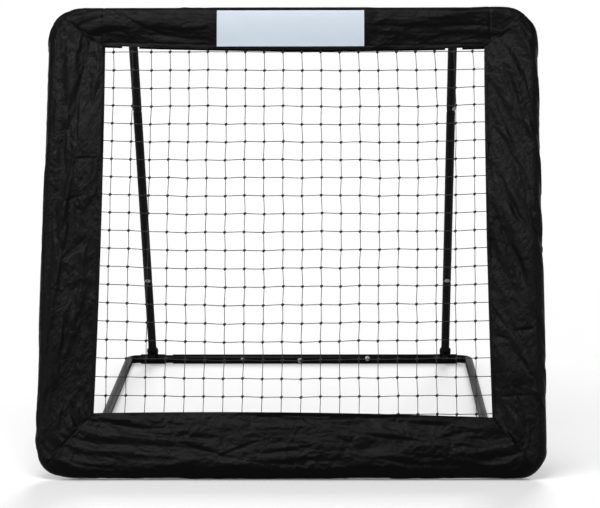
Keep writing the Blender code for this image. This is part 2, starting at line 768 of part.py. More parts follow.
def strut(side):
    """Upper, middle and lower sections, plugged into each other and held by one screw each."""
    sign = -1.0 if side == "left" else 1.0
    top = TOP_AXIS + RIGHT * sign * STRUT_TOP_X
    foot = REAR_MIDDLE + RIGHT * sign * STRUT_FOOT_X
    along = (foot - top).normalized()
    length = (foot - top).length
    tube = BASE_TUBE_R
    bore = tube - WALL
    plug_bore = PLUG_R - WALL
    upper_mouth = UPPER_SCREW + MOUTH
    lower_mouth = LOWER_SCREW + MOUTH
    # Each section is a list of (distance from the top axis, outer radius, inner radius).
    sections = {
        "upper": [
            (COLLAR_SEAT, tube, bore),
            (upper_mouth, tube, bore),
        ],
        "middle": [
            (upper_mouth - PLUG_LENGTH, PLUG_R, plug_bore),
            (upper_mouth + SHOULDER, PLUG_R, plug_bore),
            (upper_mouth + NECK, tube, plug_bore),
            (upper_mouth + NECK + THICKENING, tube, bore),
            (lower_mouth, tube, bore),
        ],
        "lower": [
            (lower_mouth - PLUG_LENGTH, PLUG_R, plug_bore),
            (lower_mouth + SHOULDER, PLUG_R, plug_bore),
            (lower_mouth + NECK, tube, plug_bore),
            (lower_mouth + NECK + THICKENING, tube, bore),
            (length - COLLAR_SEAT, tube, bore),
        ],
    }
    facing = along.cross(RIGHT).normalized()
    if facing.y > 0:
        facing.negate()
    # The right strut's upper screw is turned outwards; the left one's faces the back.
    turn = math.radians(180.0 if side == "left" else UPPER_SCREW_TURN)
    spots = {"upper": UPPER_SCREW, "lower": LOWER_SCREW}
    outward = {"upper": facing * math.cos(turn) + RIGHT * math.sin(turn), "lower": facing}
    drilled = {"upper": ("upper",), "middle": ("upper", "lower"), "lower": ("lower",)}
    for section, stations in sections.items():
        name = f"strut_{section}_{side}"
        carrier = side + ("_foot" if section == "lower" else "_strut")
        pipe = straight_pipe(name, top, along, stations)
        for joint in drilled[section]:
            spot = top + along * spots[joint]
            boolean(pipe, screw_hole(name + "_hole", spot, outward[joint], tube), "DIFFERENCE")
        keep(pipe, name, "black_paint", carrier)
    for joint in ("upper", "lower"):
        name = f"strut_{joint}_screw_{side}"
        carrier = side + ("_foot" if joint == "lower" else "_strut")
        screw = pan_screw(name, top + along * spots[joint], outward[joint], tube)
        keep(screw, name, "zinc", carrier)
    tee(f"strut_top_tee_{side}", side + "_strut", top, along, FRAME_TUBE_R, BASE_TUBE_R)
    tee(f"strut_foot_tee_{side}", side + "_foot", foot, -along, BASE_TUBE_R, BASE_TUBE_R)


def base_tees():
    for side, sign in (("left", -1.0), ("right", 1.0)):
        centre = HINGE + RIGHT * sign * SIDE_TUBE_X
        along = Vector((0.0, BASE_DEPTH, REAR_HEIGHT - HINGE.z)).normalized()
        tee(f"base_front_tee_{side}", "base", centre, along, FRAME_TUBE_R, BASE_TUBE_R)


frame_tubes()
cover_bands()
label_plate()
net_half_side = net()
border_rope()
lacing_loops(net_half_side)
base_corner("left")
base_corner("right")
rear_bar()
snap_button()
button_spring()
base_tees()
strut("left")
strut("right")
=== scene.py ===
"""Rebounder net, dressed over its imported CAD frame. Metres, in the CAD's own frame."""

import json
import math
import random

import bmesh
import bpy
import numpy as np
from mathutils import Matrix, Vector
from mathutils.bvhtree import BVHTree
from mathutils.geometry import delaunay_2d_cdt


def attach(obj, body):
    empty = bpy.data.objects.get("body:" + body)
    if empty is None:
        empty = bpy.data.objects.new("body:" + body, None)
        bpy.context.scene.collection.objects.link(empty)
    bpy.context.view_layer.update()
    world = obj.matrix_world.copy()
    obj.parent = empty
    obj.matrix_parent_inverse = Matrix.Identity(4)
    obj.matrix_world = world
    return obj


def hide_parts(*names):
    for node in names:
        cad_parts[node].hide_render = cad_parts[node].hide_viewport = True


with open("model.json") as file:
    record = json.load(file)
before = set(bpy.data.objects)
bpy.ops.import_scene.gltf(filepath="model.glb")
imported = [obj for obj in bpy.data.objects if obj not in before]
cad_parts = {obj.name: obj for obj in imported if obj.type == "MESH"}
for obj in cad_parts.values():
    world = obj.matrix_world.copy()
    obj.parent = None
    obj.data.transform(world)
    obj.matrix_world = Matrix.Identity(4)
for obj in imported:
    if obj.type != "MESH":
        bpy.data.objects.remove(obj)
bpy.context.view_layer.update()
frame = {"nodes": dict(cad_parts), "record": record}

# Driving sizes, the same as the CAD's
SIDE = 1.000
LEAN = math.radians(27.0)
BASE_DEPTH = 1.341
FRAME_TUBE_R = 0.0125
FRAME_BEND = 0.036
TUBE_R = 0.0095
REAR_BAR_R = 0.0110
COVER_R = 0.0190
HEM_HALF = 0.0045
SIDE_TUBE_X = 0.403
BASE_BEND = 0.028
STRUT_TOP_X = 0.3305
STRUT_FOOT_X = 0.3475
UPPER_SCREW = 0.2907
UPPER_SCREW_TURN = math.radians(40.0)
LOWER_SCREW = 0.9174
SCREW_HEAD_R = 0.0060
SCREW_HEAD = 0.0034
SCREW_SHANK_R = 0.0021
SCREW_LENGTH = 0.0110
# Each screw on the rear bar: its place along the bar, and how far it is turned up
BAR_SCREWS = {"middle": (0.0025, -8.0), "right": (0.1627, 15.0)}
BAR_LEFT = -0.3000
BAR_RIGHT = 0.3185
BUTTON_X = -0.1352
BUTTON_TURN = 12.0
BUTTON_PRESS = 0.0033
BUTTON_HOLE_R = 0.0034
BUTTON_R = 0.0030
BUTTON_PROUD = 0.0022
BUTTON_DOME = 0.0020
SPRING_TOP = 0.0066
SPRING_CLEAR = 0.0001
LEFT_PLUG_END = -0.108
RIGHT_PLUG_END = -0.030
LABEL_WIDTH = 0.3015
LABEL_CENTRE = -0.0032
LABEL_LOW = 0.0063
LABEL_ROUND = 15.0
LABEL_LIFT = 0.0013
LABEL_CLOTH = 0.0006
ROPE_HALF = 0.4330
ROPE_BEND = 0.0080
ROPE_R = 0.0020
LOOP_CELLS = (2, 7, 13)

HALF = SIDE / 2
TUBE_HALF = HALF - COVER_R
SLEEVE_WALL = 0.0020
# How much of a foot tee's sleeve is cut flat by the floor
FOOT_FLAT = 0.0005
REAR_HEIGHT = TUBE_R + SLEEVE_WALL - FOOT_FLAT
HINGE_Y = (COVER_R - TUBE_R - SLEEVE_WALL - BASE_DEPTH) / 2
REAR_Y = HINGE_Y + BASE_DEPTH
RIGHT = Vector((1.0, 0.0, 0.0))
UP = Vector((0.0, math.sin(LEAN), math.cos(LEAN)))
BACK = Vector((0.0, math.cos(LEAN), -math.sin(LEAN)))
HINGE = Vector((0.0, HINGE_Y, COVER_R))
MIDDLE = HINGE + UP * TUBE_HALF
TOP_AXIS = MIDDLE + UP * TUBE_HALF
REAR_MIDDLE = Vector((0.0, REAR_Y, REAR_HEIGHT))


def bar_outward(degrees):
    """The way out of the rear bar, turned up from its front."""
    turn = math.radians(degrees)
    return Vector((0.0, -math.cos(turn), math.sin(turn)))


HANDS = (("left", -1.0), ("right", 1.0))


def strut_line(sign):
    """A strut's top, its foot and the way down it."""
    top = TOP_AXIS + RIGHT * sign * STRUT_TOP_X
    foot = REAR_MIDDLE + RIGHT * sign * STRUT_FOOT_X
    return top, foot, (foot - top).normalized()


# Shader nodes

def add_node(tree, kind, **settings):
    """A new node with its settings, such as its operation."""
    node = tree.nodes.new("ShaderNode" + kind)
    for setting, value in settings.items():
        setattr(node, setting, value)
    return node


def feed(tree, socket, value):
    """Give a socket a plain value, or a link where the value is another node's output."""
    if isinstance(value, bpy.types.NodeSocket):
        tree.links.new(value, socket)
    else:
        socket.default_value = value


def maths(tree, operation, first, second=0.0, third=0.0):
    """A Math node. Each operand is a number or a socket."""
    node = add_node(tree, "Math", operation=operation)
    for socket, value in zip(node.inputs, (first, second, third)):
        feed(tree, socket, value)
    return node.outputs[0]


def spread(tree, value, given, wanted):
    """A value's range turned into another, smoothly."""
    node = add_node(tree, "MapRange", interpolation_type="SMOOTHSTEP")
    sockets = ("Value", "From Min", "From Max", "To Min", "To Max")
    for socket, part in zip(sockets, (value, *given, *wanted)):
        feed(tree, node.inputs[socket], part)
    return node.outputs["Result"]


def coordinates(tree, source):
    return add_node(tree, "TexCoord").outputs[source]


def parts_of(tree, vector):
    """A vector's own X, Y and Z."""
    node = add_node(tree, "SeparateXYZ")
    tree.links.new(vector, node.inputs[0])
    return node.outputs


def is_seen_ray(tree):
    """One for what the camera, a mirror or a glass sees, and nought for light that falls on things."""
    path = add_node(tree, "LightPath").outputs
    seen = maths(tree, "MAXIMUM", path["Is Camera Ray"], path["Is Glossy Ray"])
    return maths(tree, "MAXIMUM", seen, path["Is Transmission Ray"])


# Camera, floor and light

CAMERA_PLACE = (0.09677, -6.57975, 1.23278)
CAMERA_YAW = math.radians(0.7398)
CAMERA_PITCH = math.radians(7.6127)
CAMERA_ROLL = math.radians(-0.1466)
LENS = 185.233
SENSOR = 36.0
FAR_CLIP = 200.0


def set_camera():
    """The photograph's view: a long lens, a little above the net and to its right."""
    level = Vector((math.cos(CAMERA_YAW), math.sin(CAMERA_YAW), 0.0))
    ahead = Vector((-math.sin(CAMERA_YAW), math.cos(CAMERA_YAW), 0.0)) * math.cos(CAMERA_PITCH)
    ahead.z = -math.sin(CAMERA_PITCH)
    upright = level.cross(ahead)
    across = level * math.cos(CAMERA_ROLL) + upright * math.sin(CAMERA_ROLL)
    rise = upright * math.cos(CAMERA_ROLL) - level * math.sin(CAMERA_ROLL)
    turn = Matrix((across, rise, -ahead)).transposed().to_4x4()
    camera = bpy.data.cameras.new("camera")
    camera.lens = LENS
    camera.sensor_width = SENSOR
    camera.clip_end = FAR_CLIP
    holder = bpy.data.objects.new("camera", camera)
    holder.matrix_world = Matrix.Translation(CAMERA_PLACE) @ turn
    bpy.context.scene.collection.objects.link(holder)
    bpy.context.scene.camera = holder
    bpy.context.scene.view_settings.view_transform = "Standard"


WHITE = (1.0, 1.0, 1.0, 1.0)
FLOOR_SIZE = 60.0
FLOOR_DROP = 0.0002
FLOOR_TONE = 0.76
FLOOR_IN_GLOSS = 0.30
# The floor's own glow fills up what the lamps leave dark far from the net, and little of it is left near
GLOW_FAR = 0.44
GLOW_NEAR = 0.09
LIT_MIDDLE = -1.0
LIT_REACH = 3.2
WORLD_LIGHT = 0.38
# What a gloss sees of the room, and how far round and how high up it sees the white backdrop instead
ROOM_LIGHT = 0.10
BACKDROP_ROUND = (0.4, 0.9)
BACKDROP_HIGH = (0.12, 0.35)
# Each softbox: its place, what it faces, its size and its power
SOFTBOXES = {
    "overhead_softbox": ((-0.5, -1.3, 3.2), (0.0, -0.4, 0.4), (2.4, 1.6), 57.0),
    "left_softbox": ((-2.9, -2.0, 1.6), (0.0, -0.3, 0.4), (1.2, 1.4), 18.0),
    "right_softbox": ((2.9, -1.4, 1.5), (0.0, -0.3, 0.4), (1.0, 1.2), 9.0),
}
BACK_LIGHT = 2.7
BACK_LIGHT_WIDTH = math.radians(22.0)
BACK_LIGHT_TURN = (math.radians(-65.0), 0.0, math.radians(-6.0))


def set_world():
    world = bpy.data.worlds.new("studio")
    bpy.context.scene.world = world
    world.use_nodes = True
    tree = world.node_tree
    light = tree.nodes["Background"]
    light.inputs["Color"].default_value = WHITE
    light.inputs["Strength"].default_value = WORLD_LIGHT
    white = add_node(tree, "Background")
    white.inputs["Color"].default_value = WHITE
    direction = parts_of(tree, coordinates(tree, "Generated"))
    behind = spread(tree, direction["Y"], BACKDROP_ROUND, (0.0, 1.0))
    low = spread(tree, direction["Z"], BACKDROP_HIGH, (1.0 - ROOM_LIGHT, 0.0))
    backdrop = maths(tree, "MULTIPLY_ADD", behind, low, ROOM_LIGHT)
    straight = add_node(tree, "LightPath").outputs["Is Camera Ray"]
    feed(tree, white.inputs["Strength"], maths(tree, "MAXIMUM", backdrop, straight))
    mix = add_node(tree, "MixShader")
    for socket, value in zip(mix.inputs, (is_seen_ray(tree), light.outputs[0], white.outputs[0])):
        tree.links.new(value, socket)
    tree.links.new(mix.outputs[0], tree.nodes["World Output"].inputs["Surface"])


def floor_white():
    """A pale matt floor whose own glow brings it up to white, and which a gloss sees dimmer."""
    mat = bpy.data.materials.new("floor_white")
    mat.use_nodes = True
    tree = mat.node_tree
    tree.nodes.clear()
    gloss = add_node(tree, "LightPath").outputs["Is Glossy Ray"]
    dimmed = maths(tree, "MULTIPLY_ADD", gloss, FLOOR_IN_GLOSS - 1.0, 1.0)
    matt = add_node(tree, "BsdfDiffuse")
    tone = add_node(tree, "CombineXYZ")
    for channel in tone.inputs:
        feed(tree, channel, maths(tree, "MULTIPLY", dimmed, FLOOR_TONE))
    feed(tree, matt.inputs["Color"], tone.outputs[0])
    place = parts_of(tree, coordinates(tree, "Object"))
    across = maths(tree, "DIVIDE", place["X"], LIT_REACH)
    along = maths(tree, "DIVIDE", maths(tree, "SUBTRACT", place["Y"], LIT_MIDDLE), LIT_REACH)
    away = maths(tree, "MULTIPLY_ADD", across, across, maths(tree, "MULTIPLY", along, along))
    near = maths(tree, "EXPONENT", maths(tree, "MULTIPLY", away, -1.0))
    level = maths(tree, "MULTIPLY_ADD", near, GLOW_NEAR - GLOW_FAR, GLOW_FAR)
    seen = maths(tree, "MULTIPLY", is_seen_ray(tree), dimmed)
    glow = add_node(tree, "Emission")
    feed(tree, glow.inputs["Strength"], maths(tree, "MULTIPLY", seen, level))
    both = add_node(tree, "AddShader")
    tree.links.new(matt.outputs[0], both.inputs[0])
    tree.links.new(glow.outputs[0], both.inputs[1])
    tree.links.new(both.outputs[0], add_node(tree, "OutputMaterial").inputs["Surface"])
    return mat


def set_floor():
    flat = bpy.ops.mesh.primitive_plane_add
    floor = add_primitive(flat, size=FLOOR_SIZE, location=(0.0, 0.0, -FLOOR_DROP))
    floor.name = "floor"
    floor.data.materials.append(floor_white())


def set_softboxes():
    for name, (place, target, size, power) in SOFTBOXES.items():
        lamp = bpy.data.lights.new(name, "AREA")
        lamp.shape = "RECTANGLE"
        lamp.size, lamp.size_y = size
        lamp.energy = power
        holder = bpy.data.objects.new(name, lamp)
        aim = (Vector(target) - Vector(place)).to_track_quat("-Z", "Y")
        holder.matrix_world = Matrix.Translation(place) @ aim.to_matrix().to_4x4()
        bpy.context.scene.collection.objects.link(holder)


def set_back_light():
    """Low and wide, from behind, so that the bar and the cover shade the floor before them."""
    lamp = bpy.data.lights.new("back_light", "SUN")
    lamp.energy = BACK_LIGHT
    lamp.angle = BACK_LIGHT_WIDTH
    holder = bpy.data.objects.new("back_light", lamp)
    holder.rotation_euler = BACK_LIGHT_TURN
    holder.visible_glossy = False
    bpy.context.scene.collection.objects.link(holder)


# Materials

CRINKLES_PER_METRE = 80.0
COVER_THREADS = 1600.0
LABEL_THREADS = 1900.0
# The crinkles' three sizes: each one's share of the height, and how much finer it is
CRINKLE_SIZES = ((0.50, 1.0), (0.32, 2.3), (0.18, 5.1))
CRINKLE_WARP = 0.035
# The warp's own patches, as a share of a crinkle's scale
WARP_PATCH = 0.6
# What a weave's height is made of: its threads' round backs, and which thread is over
BACKS_SHARE = 0.35
OVER_SHARE = 0.30
# The painted shade in the grooves between a twine's strands, and the duller colour of a plated piece, each as
# a share of the paler colour
TWINE_GROOVE_SHADE = 0.55
PLATE_DULL = 0.72
# A black surface gives back less at a glance than plain plastic does
BLACK_GLANCE = {"Specular IOR Level": 0.13}
# How much of the cover's tone is its rubbing, beside the painted shade of its weave
RUBBED_SHARE = 0.7


def new_material(name, colour, roughness, more=None):
    """(material, its node tree, its shader), with plain values on the shader's own sockets."""
    mat = bpy.data.materials.new(name)
    mat.use_nodes = True
    shader = mat.node_tree.nodes["Principled BSDF"]
    plain = {"Base Color": (*colour, 1.0), "Roughness": roughness, **(more or {})}
    for socket, value in plain.items():
        shader.inputs[socket].default_value = value
    return mat, mat.node_tree, shader


def new_group(name, inputs, outputs):
    """A node group with float and vector inputs, and its two end nodes."""
    tree = bpy.data.node_groups.new(name, "ShaderNodeTree")
    for socket, kind, value in inputs:
        made = tree.interface.new_socket(name=socket, in_out="INPUT", socket_type=kind)
        if value is not None:
            made.default_value = value
    for socket in outputs:
        tree.interface.new_socket(name=socket, in_out="OUTPUT", socket_type="NodeSocketFloat")
    return tree, tree.nodes.new("NodeGroupInput").outputs, tree.nodes.new("NodeGroupOutput").inputs


def place_group(tree, group, place, **values):
    """A group laid over a place, with its own values. Its outputs come back."""
    node = add_node(tree, "Group", node_tree=group)
    tree.links.new(place, node.inputs["Place"])
    for socket, value in values.items():
        node.inputs[socket.replace("_", " ")].default_value = value
    return node.outputs


def blend_colours(tree, share, first, second):
    node = add_node(tree, "Mix", data_type="RGBA")
    tree.links.new(share, node.inputs["Factor"])
    node.inputs["A"].default_value = (*first, 1.0)
    node.inputs["B"].default_value = (*second, 1.0)
    return node.outputs["Result"]


def bump(tree, height, distance, strength=1.0, below=None):
    node = add_node(tree, "Bump")
    node.inputs["Distance"].default_value = distance
    node.inputs["Strength"].default_value = strength
    tree.links.new(height, node.inputs["Height"])
    if below is not None:
        tree.links.new(below, node.inputs["Normal"])
    return node.outputs["Normal"]


def mapped(tree, source, scale=(1.0, 1.0, 1.0)):
    """Object or UV coordinates through a Mapping node."""
    mapping = add_node(tree, "Mapping")
    mapping.inputs["Scale"].default_value = scale
    tree.links.new(coordinates(tree, source), mapping.inputs["Vector"])
    return mapping.outputs["Vector"]


def noise_field(tree, place, scale, detail=3.0, rough=0.55):
    node = add_node(tree, "TexNoise")
    for socket, value in (("Vector", place), ("Scale", scale), ("Detail", detail), ("Roughness", rough)):
        feed(tree, node.inputs[socket], value)
    return node.outputs["Fac"]


def dress(tree, shader, tint, colours, normal, wear=None, roughness=None):
    """Lead a tint between two colours, wear between two roughnesses, and a normal to the shader."""
    feed(tree, shader.inputs["Base Color"], blend_colours(tree, tint, *colours))
    feed(tree, shader.inputs["Normal"], normal)
    if wear is not None:
        smooth, rough = roughness
        feed(tree, shader.inputs["Roughness"], maths(tree, "MULTIPLY_ADD", wear, rough - smooth, smooth))


def weave_group():
    """Plain weave: warp and weft threads that pass over and under each other, with painted shade that is
    lighter where a thread lies on top.
    """
    tree, start, end = new_group(
        "plain_weave",
        [("Place", "NodeSocketVector", None), ("Threads per Metre", "NodeSocketFloat", COVER_THREADS)],
        ["Height", "Shade"],
    )
    place = parts_of(tree, start["Place"])
    waves = []
    for axis in ("X", "Y"):
        count = maths(tree, "MULTIPLY", place[axis], start["Threads per Metre"])
        turn = maths(tree, "MULTIPLY", count, math.pi)
        waves.append((maths(tree, "SINE", turn), maths(tree, "ABSOLUTE", maths(tree, "COSINE", turn))))
    over = maths(tree, "MULTIPLY", waves[0][0], waves[1][0])
    over = maths(tree, "MULTIPLY_ADD", over, 0.5, 0.5)
    crown = maths(tree, "ADD", waves[0][1], waves[1][1])
    lifted = maths(tree, "MULTIPLY", over, OVER_SHARE)
    feed(tree, end["Height"], maths(tree, "MULTIPLY_ADD", crown, BACKS_SHARE, lifted))
    # Shade is painted shade: lighter where a thread lies on top and stands higher, darker where it lies under
    feed(tree, end["Shade"], over)
    return tree


def crinkle_group():
    """The fine creases of thin coated nylon: bent cell edges at three sizes."""
    tree, start, end = new_group(
        "crinkles",
        [("Place", "NodeSocketVector", None), ("Size", "NodeSocketFloat", CRINKLES_PER_METRE)],
        ["Height"],
    )
    total = 0.0
    for share, growth in CRINKLE_SIZES:
        scale = maths(tree, "MULTIPLY", start["Size"], growth)
        warp = add_node(tree, "TexNoise")
        warp.inputs["Detail"].default_value = 2.0
        feed(tree, warp.inputs["Vector"], start["Place"])
        feed(tree, warp.inputs["Scale"], maths(tree, "MULTIPLY", scale, WARP_PATCH))
        push = add_node(tree, "VectorMath", operation="SCALE")
        push.inputs["Scale"].default_value = CRINKLE_WARP / growth
        feed(tree, push.inputs[0], warp.outputs["Color"])
        moved = add_node(tree, "VectorMath", operation="ADD")
        feed(tree, moved.inputs[0], start["Place"])
        feed(tree, moved.inputs[1], push.outputs[0])
        cells = add_node(tree, "TexVoronoi", feature="F1", distance="MANHATTAN")
        feed(tree, cells.inputs["Vector"], moved.outputs[0])
        feed(tree, cells.inputs["Scale"], scale)
        total = maths(tree, "MULTIPLY_ADD", cells.outputs["Distance"], share, total)
    feed(tree, end["Height"], total)
    return tree


def strand_group():
    """Helical strands of a twisted twine or rope. Place is (along, round) in turns."""
    tree, start, end = new_group(
        "twisted_strands",
        [("Place", "NodeSocketVector", None), ("Strands", "NodeSocketFloat", 3.0)],
        ["Height"],
    )
    place = parts_of(tree, start["Place"])
    slanted = maths(tree, "ADD", place["X"], place["Y"])
    turn = maths(tree, "MULTIPLY", maths(tree, "MULTIPLY", slanted, start["Strands"]), math.pi)
    feed(tree, end["Height"], maths(tree, "ABSOLUTE", maths(tree, "SINE", turn)))
    return tree


WEAVE = weave_group()
CRINKLE = crinkle_group()
STRANDS = strand_group()


def cover_fabric():
    """Thin black coated nylon, crinkled all over, a little greyer where it is rubbed, with painted shade on
    the threads that lie lower in its weave.
    """
    mat, tree, shader = new_material("cover_nylon", (0.008, 0.008, 0.009), 0.50, BLACK_GLANCE)
    cloth = mapped(tree, "UV")
    crinkle = place_group(tree, CRINKLE, cloth, Size=CRINKLES_PER_METRE)
    weave = place_group(tree, WEAVE, cloth, Threads_per_Metre=COVER_THREADS)
    rubbed = noise_field(tree, cloth, scale=9.0, detail=4.0, rough=0.6)
    fine = noise_field(tree, cloth, scale=60.0, rough=0.6)
    # Painted shade of the weave: the raised threads lighter, the lower ones darker, mixed in with the rubbing
    shade = maths(tree, "MULTIPLY", weave["Shade"], 1.0 - RUBBED_SHARE)
    tone = maths(tree, "MULTIPLY_ADD", rubbed, RUBBED_SHARE, shade)
    creased = bump(tree, crinkle["Height"], distance=0.0012, strength=0.8)
    woven = bump(tree, weave["Height"], distance=0.00012, strength=0.8, below=creased)
    colours = (0.0012, 0.0012, 0.0013), (0.0032, 0.0032, 0.0034)
    dress(tree, shader, tone, colours, woven, fine, (0.24, 0.44))
    return mat


def label_cloth():
    """A pale satin patch, left bare."""
    mat, tree, shader = new_material("label_satin", (0.58, 0.65, 0.73), 0.46, {"Sheen Weight": 0.10})
    cloth = mapped(tree, "UV")
    weave = place_group(tree, WEAVE, cloth, Threads_per_Metre=LABEL_THREADS)
    cloud = noise_field(tree, cloth, scale=22.0)
    woven = bump(tree, weave["Height"], distance=0.0001, strength=0.7)
    dress(tree, shader, cloud, ((0.56, 0.635, 0.715), (0.62, 0.69, 0.765)), woven)
    return mat


def twine_fibre(name, colour, strands, along_turns, depth):
    """Twisted or braided black fibre, with its strands on the piece's own UV map and painted shade in the
    grooves between them.
    """
    mat, tree, shader = new_material(name, colour, 0.68, {"Sheen Weight": 0.15})
    strand = place_group(tree, STRANDS, mapped(tree, "UV", (along_turns, 1.0, 1.0)), Strands=strands)
    fuzz = noise_field(tree, mapped(tree, "Object"), scale=900.0, detail=2.0)
    dark = tuple(channel * TWINE_GROOVE_SHADE for channel in colour)
    twisted = bump(tree, strand["Height"], depth, strength=0.8)
    # Painted shade: the grooves between the strands are coloured darker than their crowns
    dress(tree, shader, strand["Height"], (dark, colour), twisted, fuzz, (0.55, 0.80))
    return mat


def powder_coat():
    """Satin black powder coat with its faint orange peel and a little dust."""
    coat = {**BLACK_GLANCE, "Coat Weight": 0.03, "Coat Roughness": 0.20}
    mat, tree, shader = new_material("black_powder_coat", (0.004, 0.004, 0.004), 0.40, coat)
    place = mapped(tree, "Object")
    peel = bump(tree, noise_field(tree, place, scale=420.0, detail=2.0), distance=0.00012, strength=0.6)
    dust = noise_field(tree, place, scale=14.0, detail=5.0, rough=0.65)
    colours = (0.0005, 0.0005, 0.0006), (0.0015, 0.0015, 0.0015)
    dress(tree, shader, dust, colours, peel, dust, (0.30, 0.50))
    return mat


def moulded_plastic():
    """Black moulded plastic with a fine spark-eroded grain."""
    mat, tree, shader = new_material("moulded_black_plastic", (0.004, 0.004, 0.004), 0.40, BLACK_GLANCE)
    place = mapped(tree, "Object")
    grain = bump(tree, noise_field(tree, place, scale=1500.0, detail=2.0), distance=0.00008, strength=0.7)
    cloud = noise_field(tree, place, scale=40.0)
    colours = (0.0010, 0.0010, 0.0011), (0.0026, 0.0026, 0.0028)
    dress(tree, shader, cloud, colours, grain, cloud, (0.26, 0.42))
    return mat


def plated_steel(name, colour, roughness):
    """Bright plate with faint clouding and fine turning marks."""
    mat, tree, shader = new_material(name, colour, roughness, {"Metallic": 1.0})
    cloud = noise_field(tree, mapped(tree, "Object"), scale=260.0, detail=4.0)
    dull = tuple(channel * PLATE_DULL for channel in colour)
    marks = bump(tree, cloud, distance=0.00006, strength=0.5)
    dress(tree, shader, cloud, (dull, colour), marks, cloud, (roughness - 0.1, roughness + 0.14))
    return mat


FINISH = {
    "cover_fabric": cover_fabric(),
    "label": label_cloth(),
    "net_twine": twine_fibre("net_twine_black", (0.012, 0.012, 0.013), 3.0, 1.0, 0.0003),
    "rope": twine_fibre("border_rope_black", (0.032, 0.032, 0.032), 3.0, 90.0, 0.0006),
    "elastic": twine_fibre("elastic_braid_black", (0.026, 0.026, 0.026), 8.0, 120.0, 0.0002),
    "black_paint": powder_coat(),
    "tee_plastic": moulded_plastic(),
    "zinc": plated_steel("zinc_plate", (0.80, 0.81, 0.82), 0.42),
    "spring_steel": plated_steel("spring_steel", (0.40, 0.40, 0.42), 0.34),
}


# Shared making steps

def clear_selection():
    bpy.ops.object.select_all(action="DESELECT")


def only(obj):
    """Make one object the selected and active one."""
    clear_selection()
    obj.select_set(True)
    bpy.context.view_layer.objects.active = obj


def add_primitive(operator, **options):
    """A new primitive, alone in the selection."""
    clear_selection()
    operator(**options)
    return bpy.context.object


def apply_place():
    """Move the active piece's place, turn and size into its mesh."""
    bpy.ops.object.transform_apply(location=True, rotation=True, scale=True)


def apply_modifier(obj, kind, **settings):
    """Add a modifier with its settings to the active piece and apply it at once."""
    mod = obj.modifiers.new(kind.lower(), kind)
    for setting, value in settings.items():
        setattr(mod, setting, value)
    bpy.ops.object.modifier_apply(modifier=mod.name)


def thicken(obj, thickness):
    only(obj)
    apply_modifier(obj, "SOLIDIFY", thickness=thickness, offset=-1.0)


def round_edges(obj, width, segments, degrees):
    only(obj)
    angle = math.radians(degrees)
    apply_modifier(obj, "BEVEL", width=width, segments=segments, limit_method="ANGLE", angle_limit=angle)


def edit_all():
    """Go into edit mode with every edge selected."""
    bpy.ops.object.mode_set(mode="EDIT")
    bpy.ops.mesh.select_mode(type="EDGE")
    bpy.ops.mesh.select_all(action="SELECT")


def end_edit():
    """Turn all faces outwards and leave edit mode."""
    bpy.ops.mesh.select_all(action="SELECT")
    bpy.ops.mesh.normals_make_consistent(inside=False)
    bpy.ops.object.mode_set(mode="OBJECT")


def extrude(*way):
    bpy.ops.mesh.extrude_region_move(TRANSFORM_OT_translate={"value": way})


def points_of(mesh):
    """A mesh's points as rows of x, y, z."""
    flat = np.empty(len(mesh.vertices) * 3)
    mesh.vertices.foreach_get("co", flat)
    return flat.reshape(-1, 3)


def laid_along(place, direction):
    turn = Vector(direction).to_track_quat("Z", "Y").to_matrix().to_4x4()
    return Matrix.Translation(place) @ turn


def settle(obj, matrix):
    """Put a piece in its place and move that place into its mesh."""
    only(obj)
    obj.matrix_world = matrix @ obj.matrix_world
    apply_place()
    return obj


def finish_piece(obj, name, slot, body, replaced, smooth=35.0):
    """Shade the piece, give it its finish, and hang it on its body in place of the CAD's node."""
    only(obj)
    bpy.ops.object.shade_smooth_by_angle(angle=math.radians(smooth))
    obj.name = name
    obj.data.name = name
    obj.data.materials.clear()
    obj.data.materials.append(FINISH[slot])
    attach(obj, body)
    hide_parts(replaced)


def drawn_rings(name, profile, sides, hollow=False):
    """A circle drawn up ring by ring along Z, as (radius, height), and closed at its ends."""
    radius, height = profile[0]
    circle = bpy.ops.mesh.primitive_circle_add
    obj = add_primitive(circle, vertices=sides, radius=radius, location=(0.0, 0.0, height))
    obj.name = name
    apply_place()
    edit_all()
    for next_radius, next_height in profile[1:]:
        extrude(0.0, 0.0, next_height - height)
        if next_radius != radius:
            ratio = next_radius / radius
            centre = (0.0, 0.0, next_height)
            bpy.ops.transform.resize(value=(ratio, ratio, 1.0), center_override=centre)
        radius, height = next_radius, next_height
    bpy.ops.mesh.select_all(action="DESELECT")
    bpy.ops.mesh.select_non_manifold(extend=False, use_wire=False, use_multi_face=False, use_verts=False)
    if hollow:
        bpy.ops.mesh.bridge_edge_loops()
    else:
        bpy.ops.mesh.edge_face_add()
        bpy.ops.mesh.select_all(action="DESELECT")
        bpy.ops.mesh.select_non_manifold(extend=False)
        bpy.ops.mesh.edge_face_add()
    end_edit()
    return obj


def laid_rings(name, profile, sides, place, direction, hollow=False):
    """Rings drawn up and laid along a direction from a place."""
    return settle(drawn_rings(name, profile, sides, hollow), laid_along(place, direction))


def cut(obj, tool, operation="DIFFERENCE"):
    """Apply a boolean at once and take the tool away."""
    only(obj)
    apply_modifier(obj, "BOOLEAN", operation=operation, solver="EXACT", object=tool)
    bpy.data.objects.remove(tool, do_unlink=True)


def on_frame(across, along, back):
    """World place from the frame's own plane, measured from the middle of its square."""
    return MIDDLE + RIGHT * across + UP * along + BACK * back


def quarter(turn, along, out):
    """Turn a side's own (along, out) into the frame's (across, along). Side 0 is the top."""
    for _ in range(turn):
        along, out = out, -along
    return along, out


def own_place(turn, place):
    """The frame's (across, along) as a side's own (along, out)."""
    across, along = place
    for _ in range(turn):
        across, along = -along, across
    return across, along


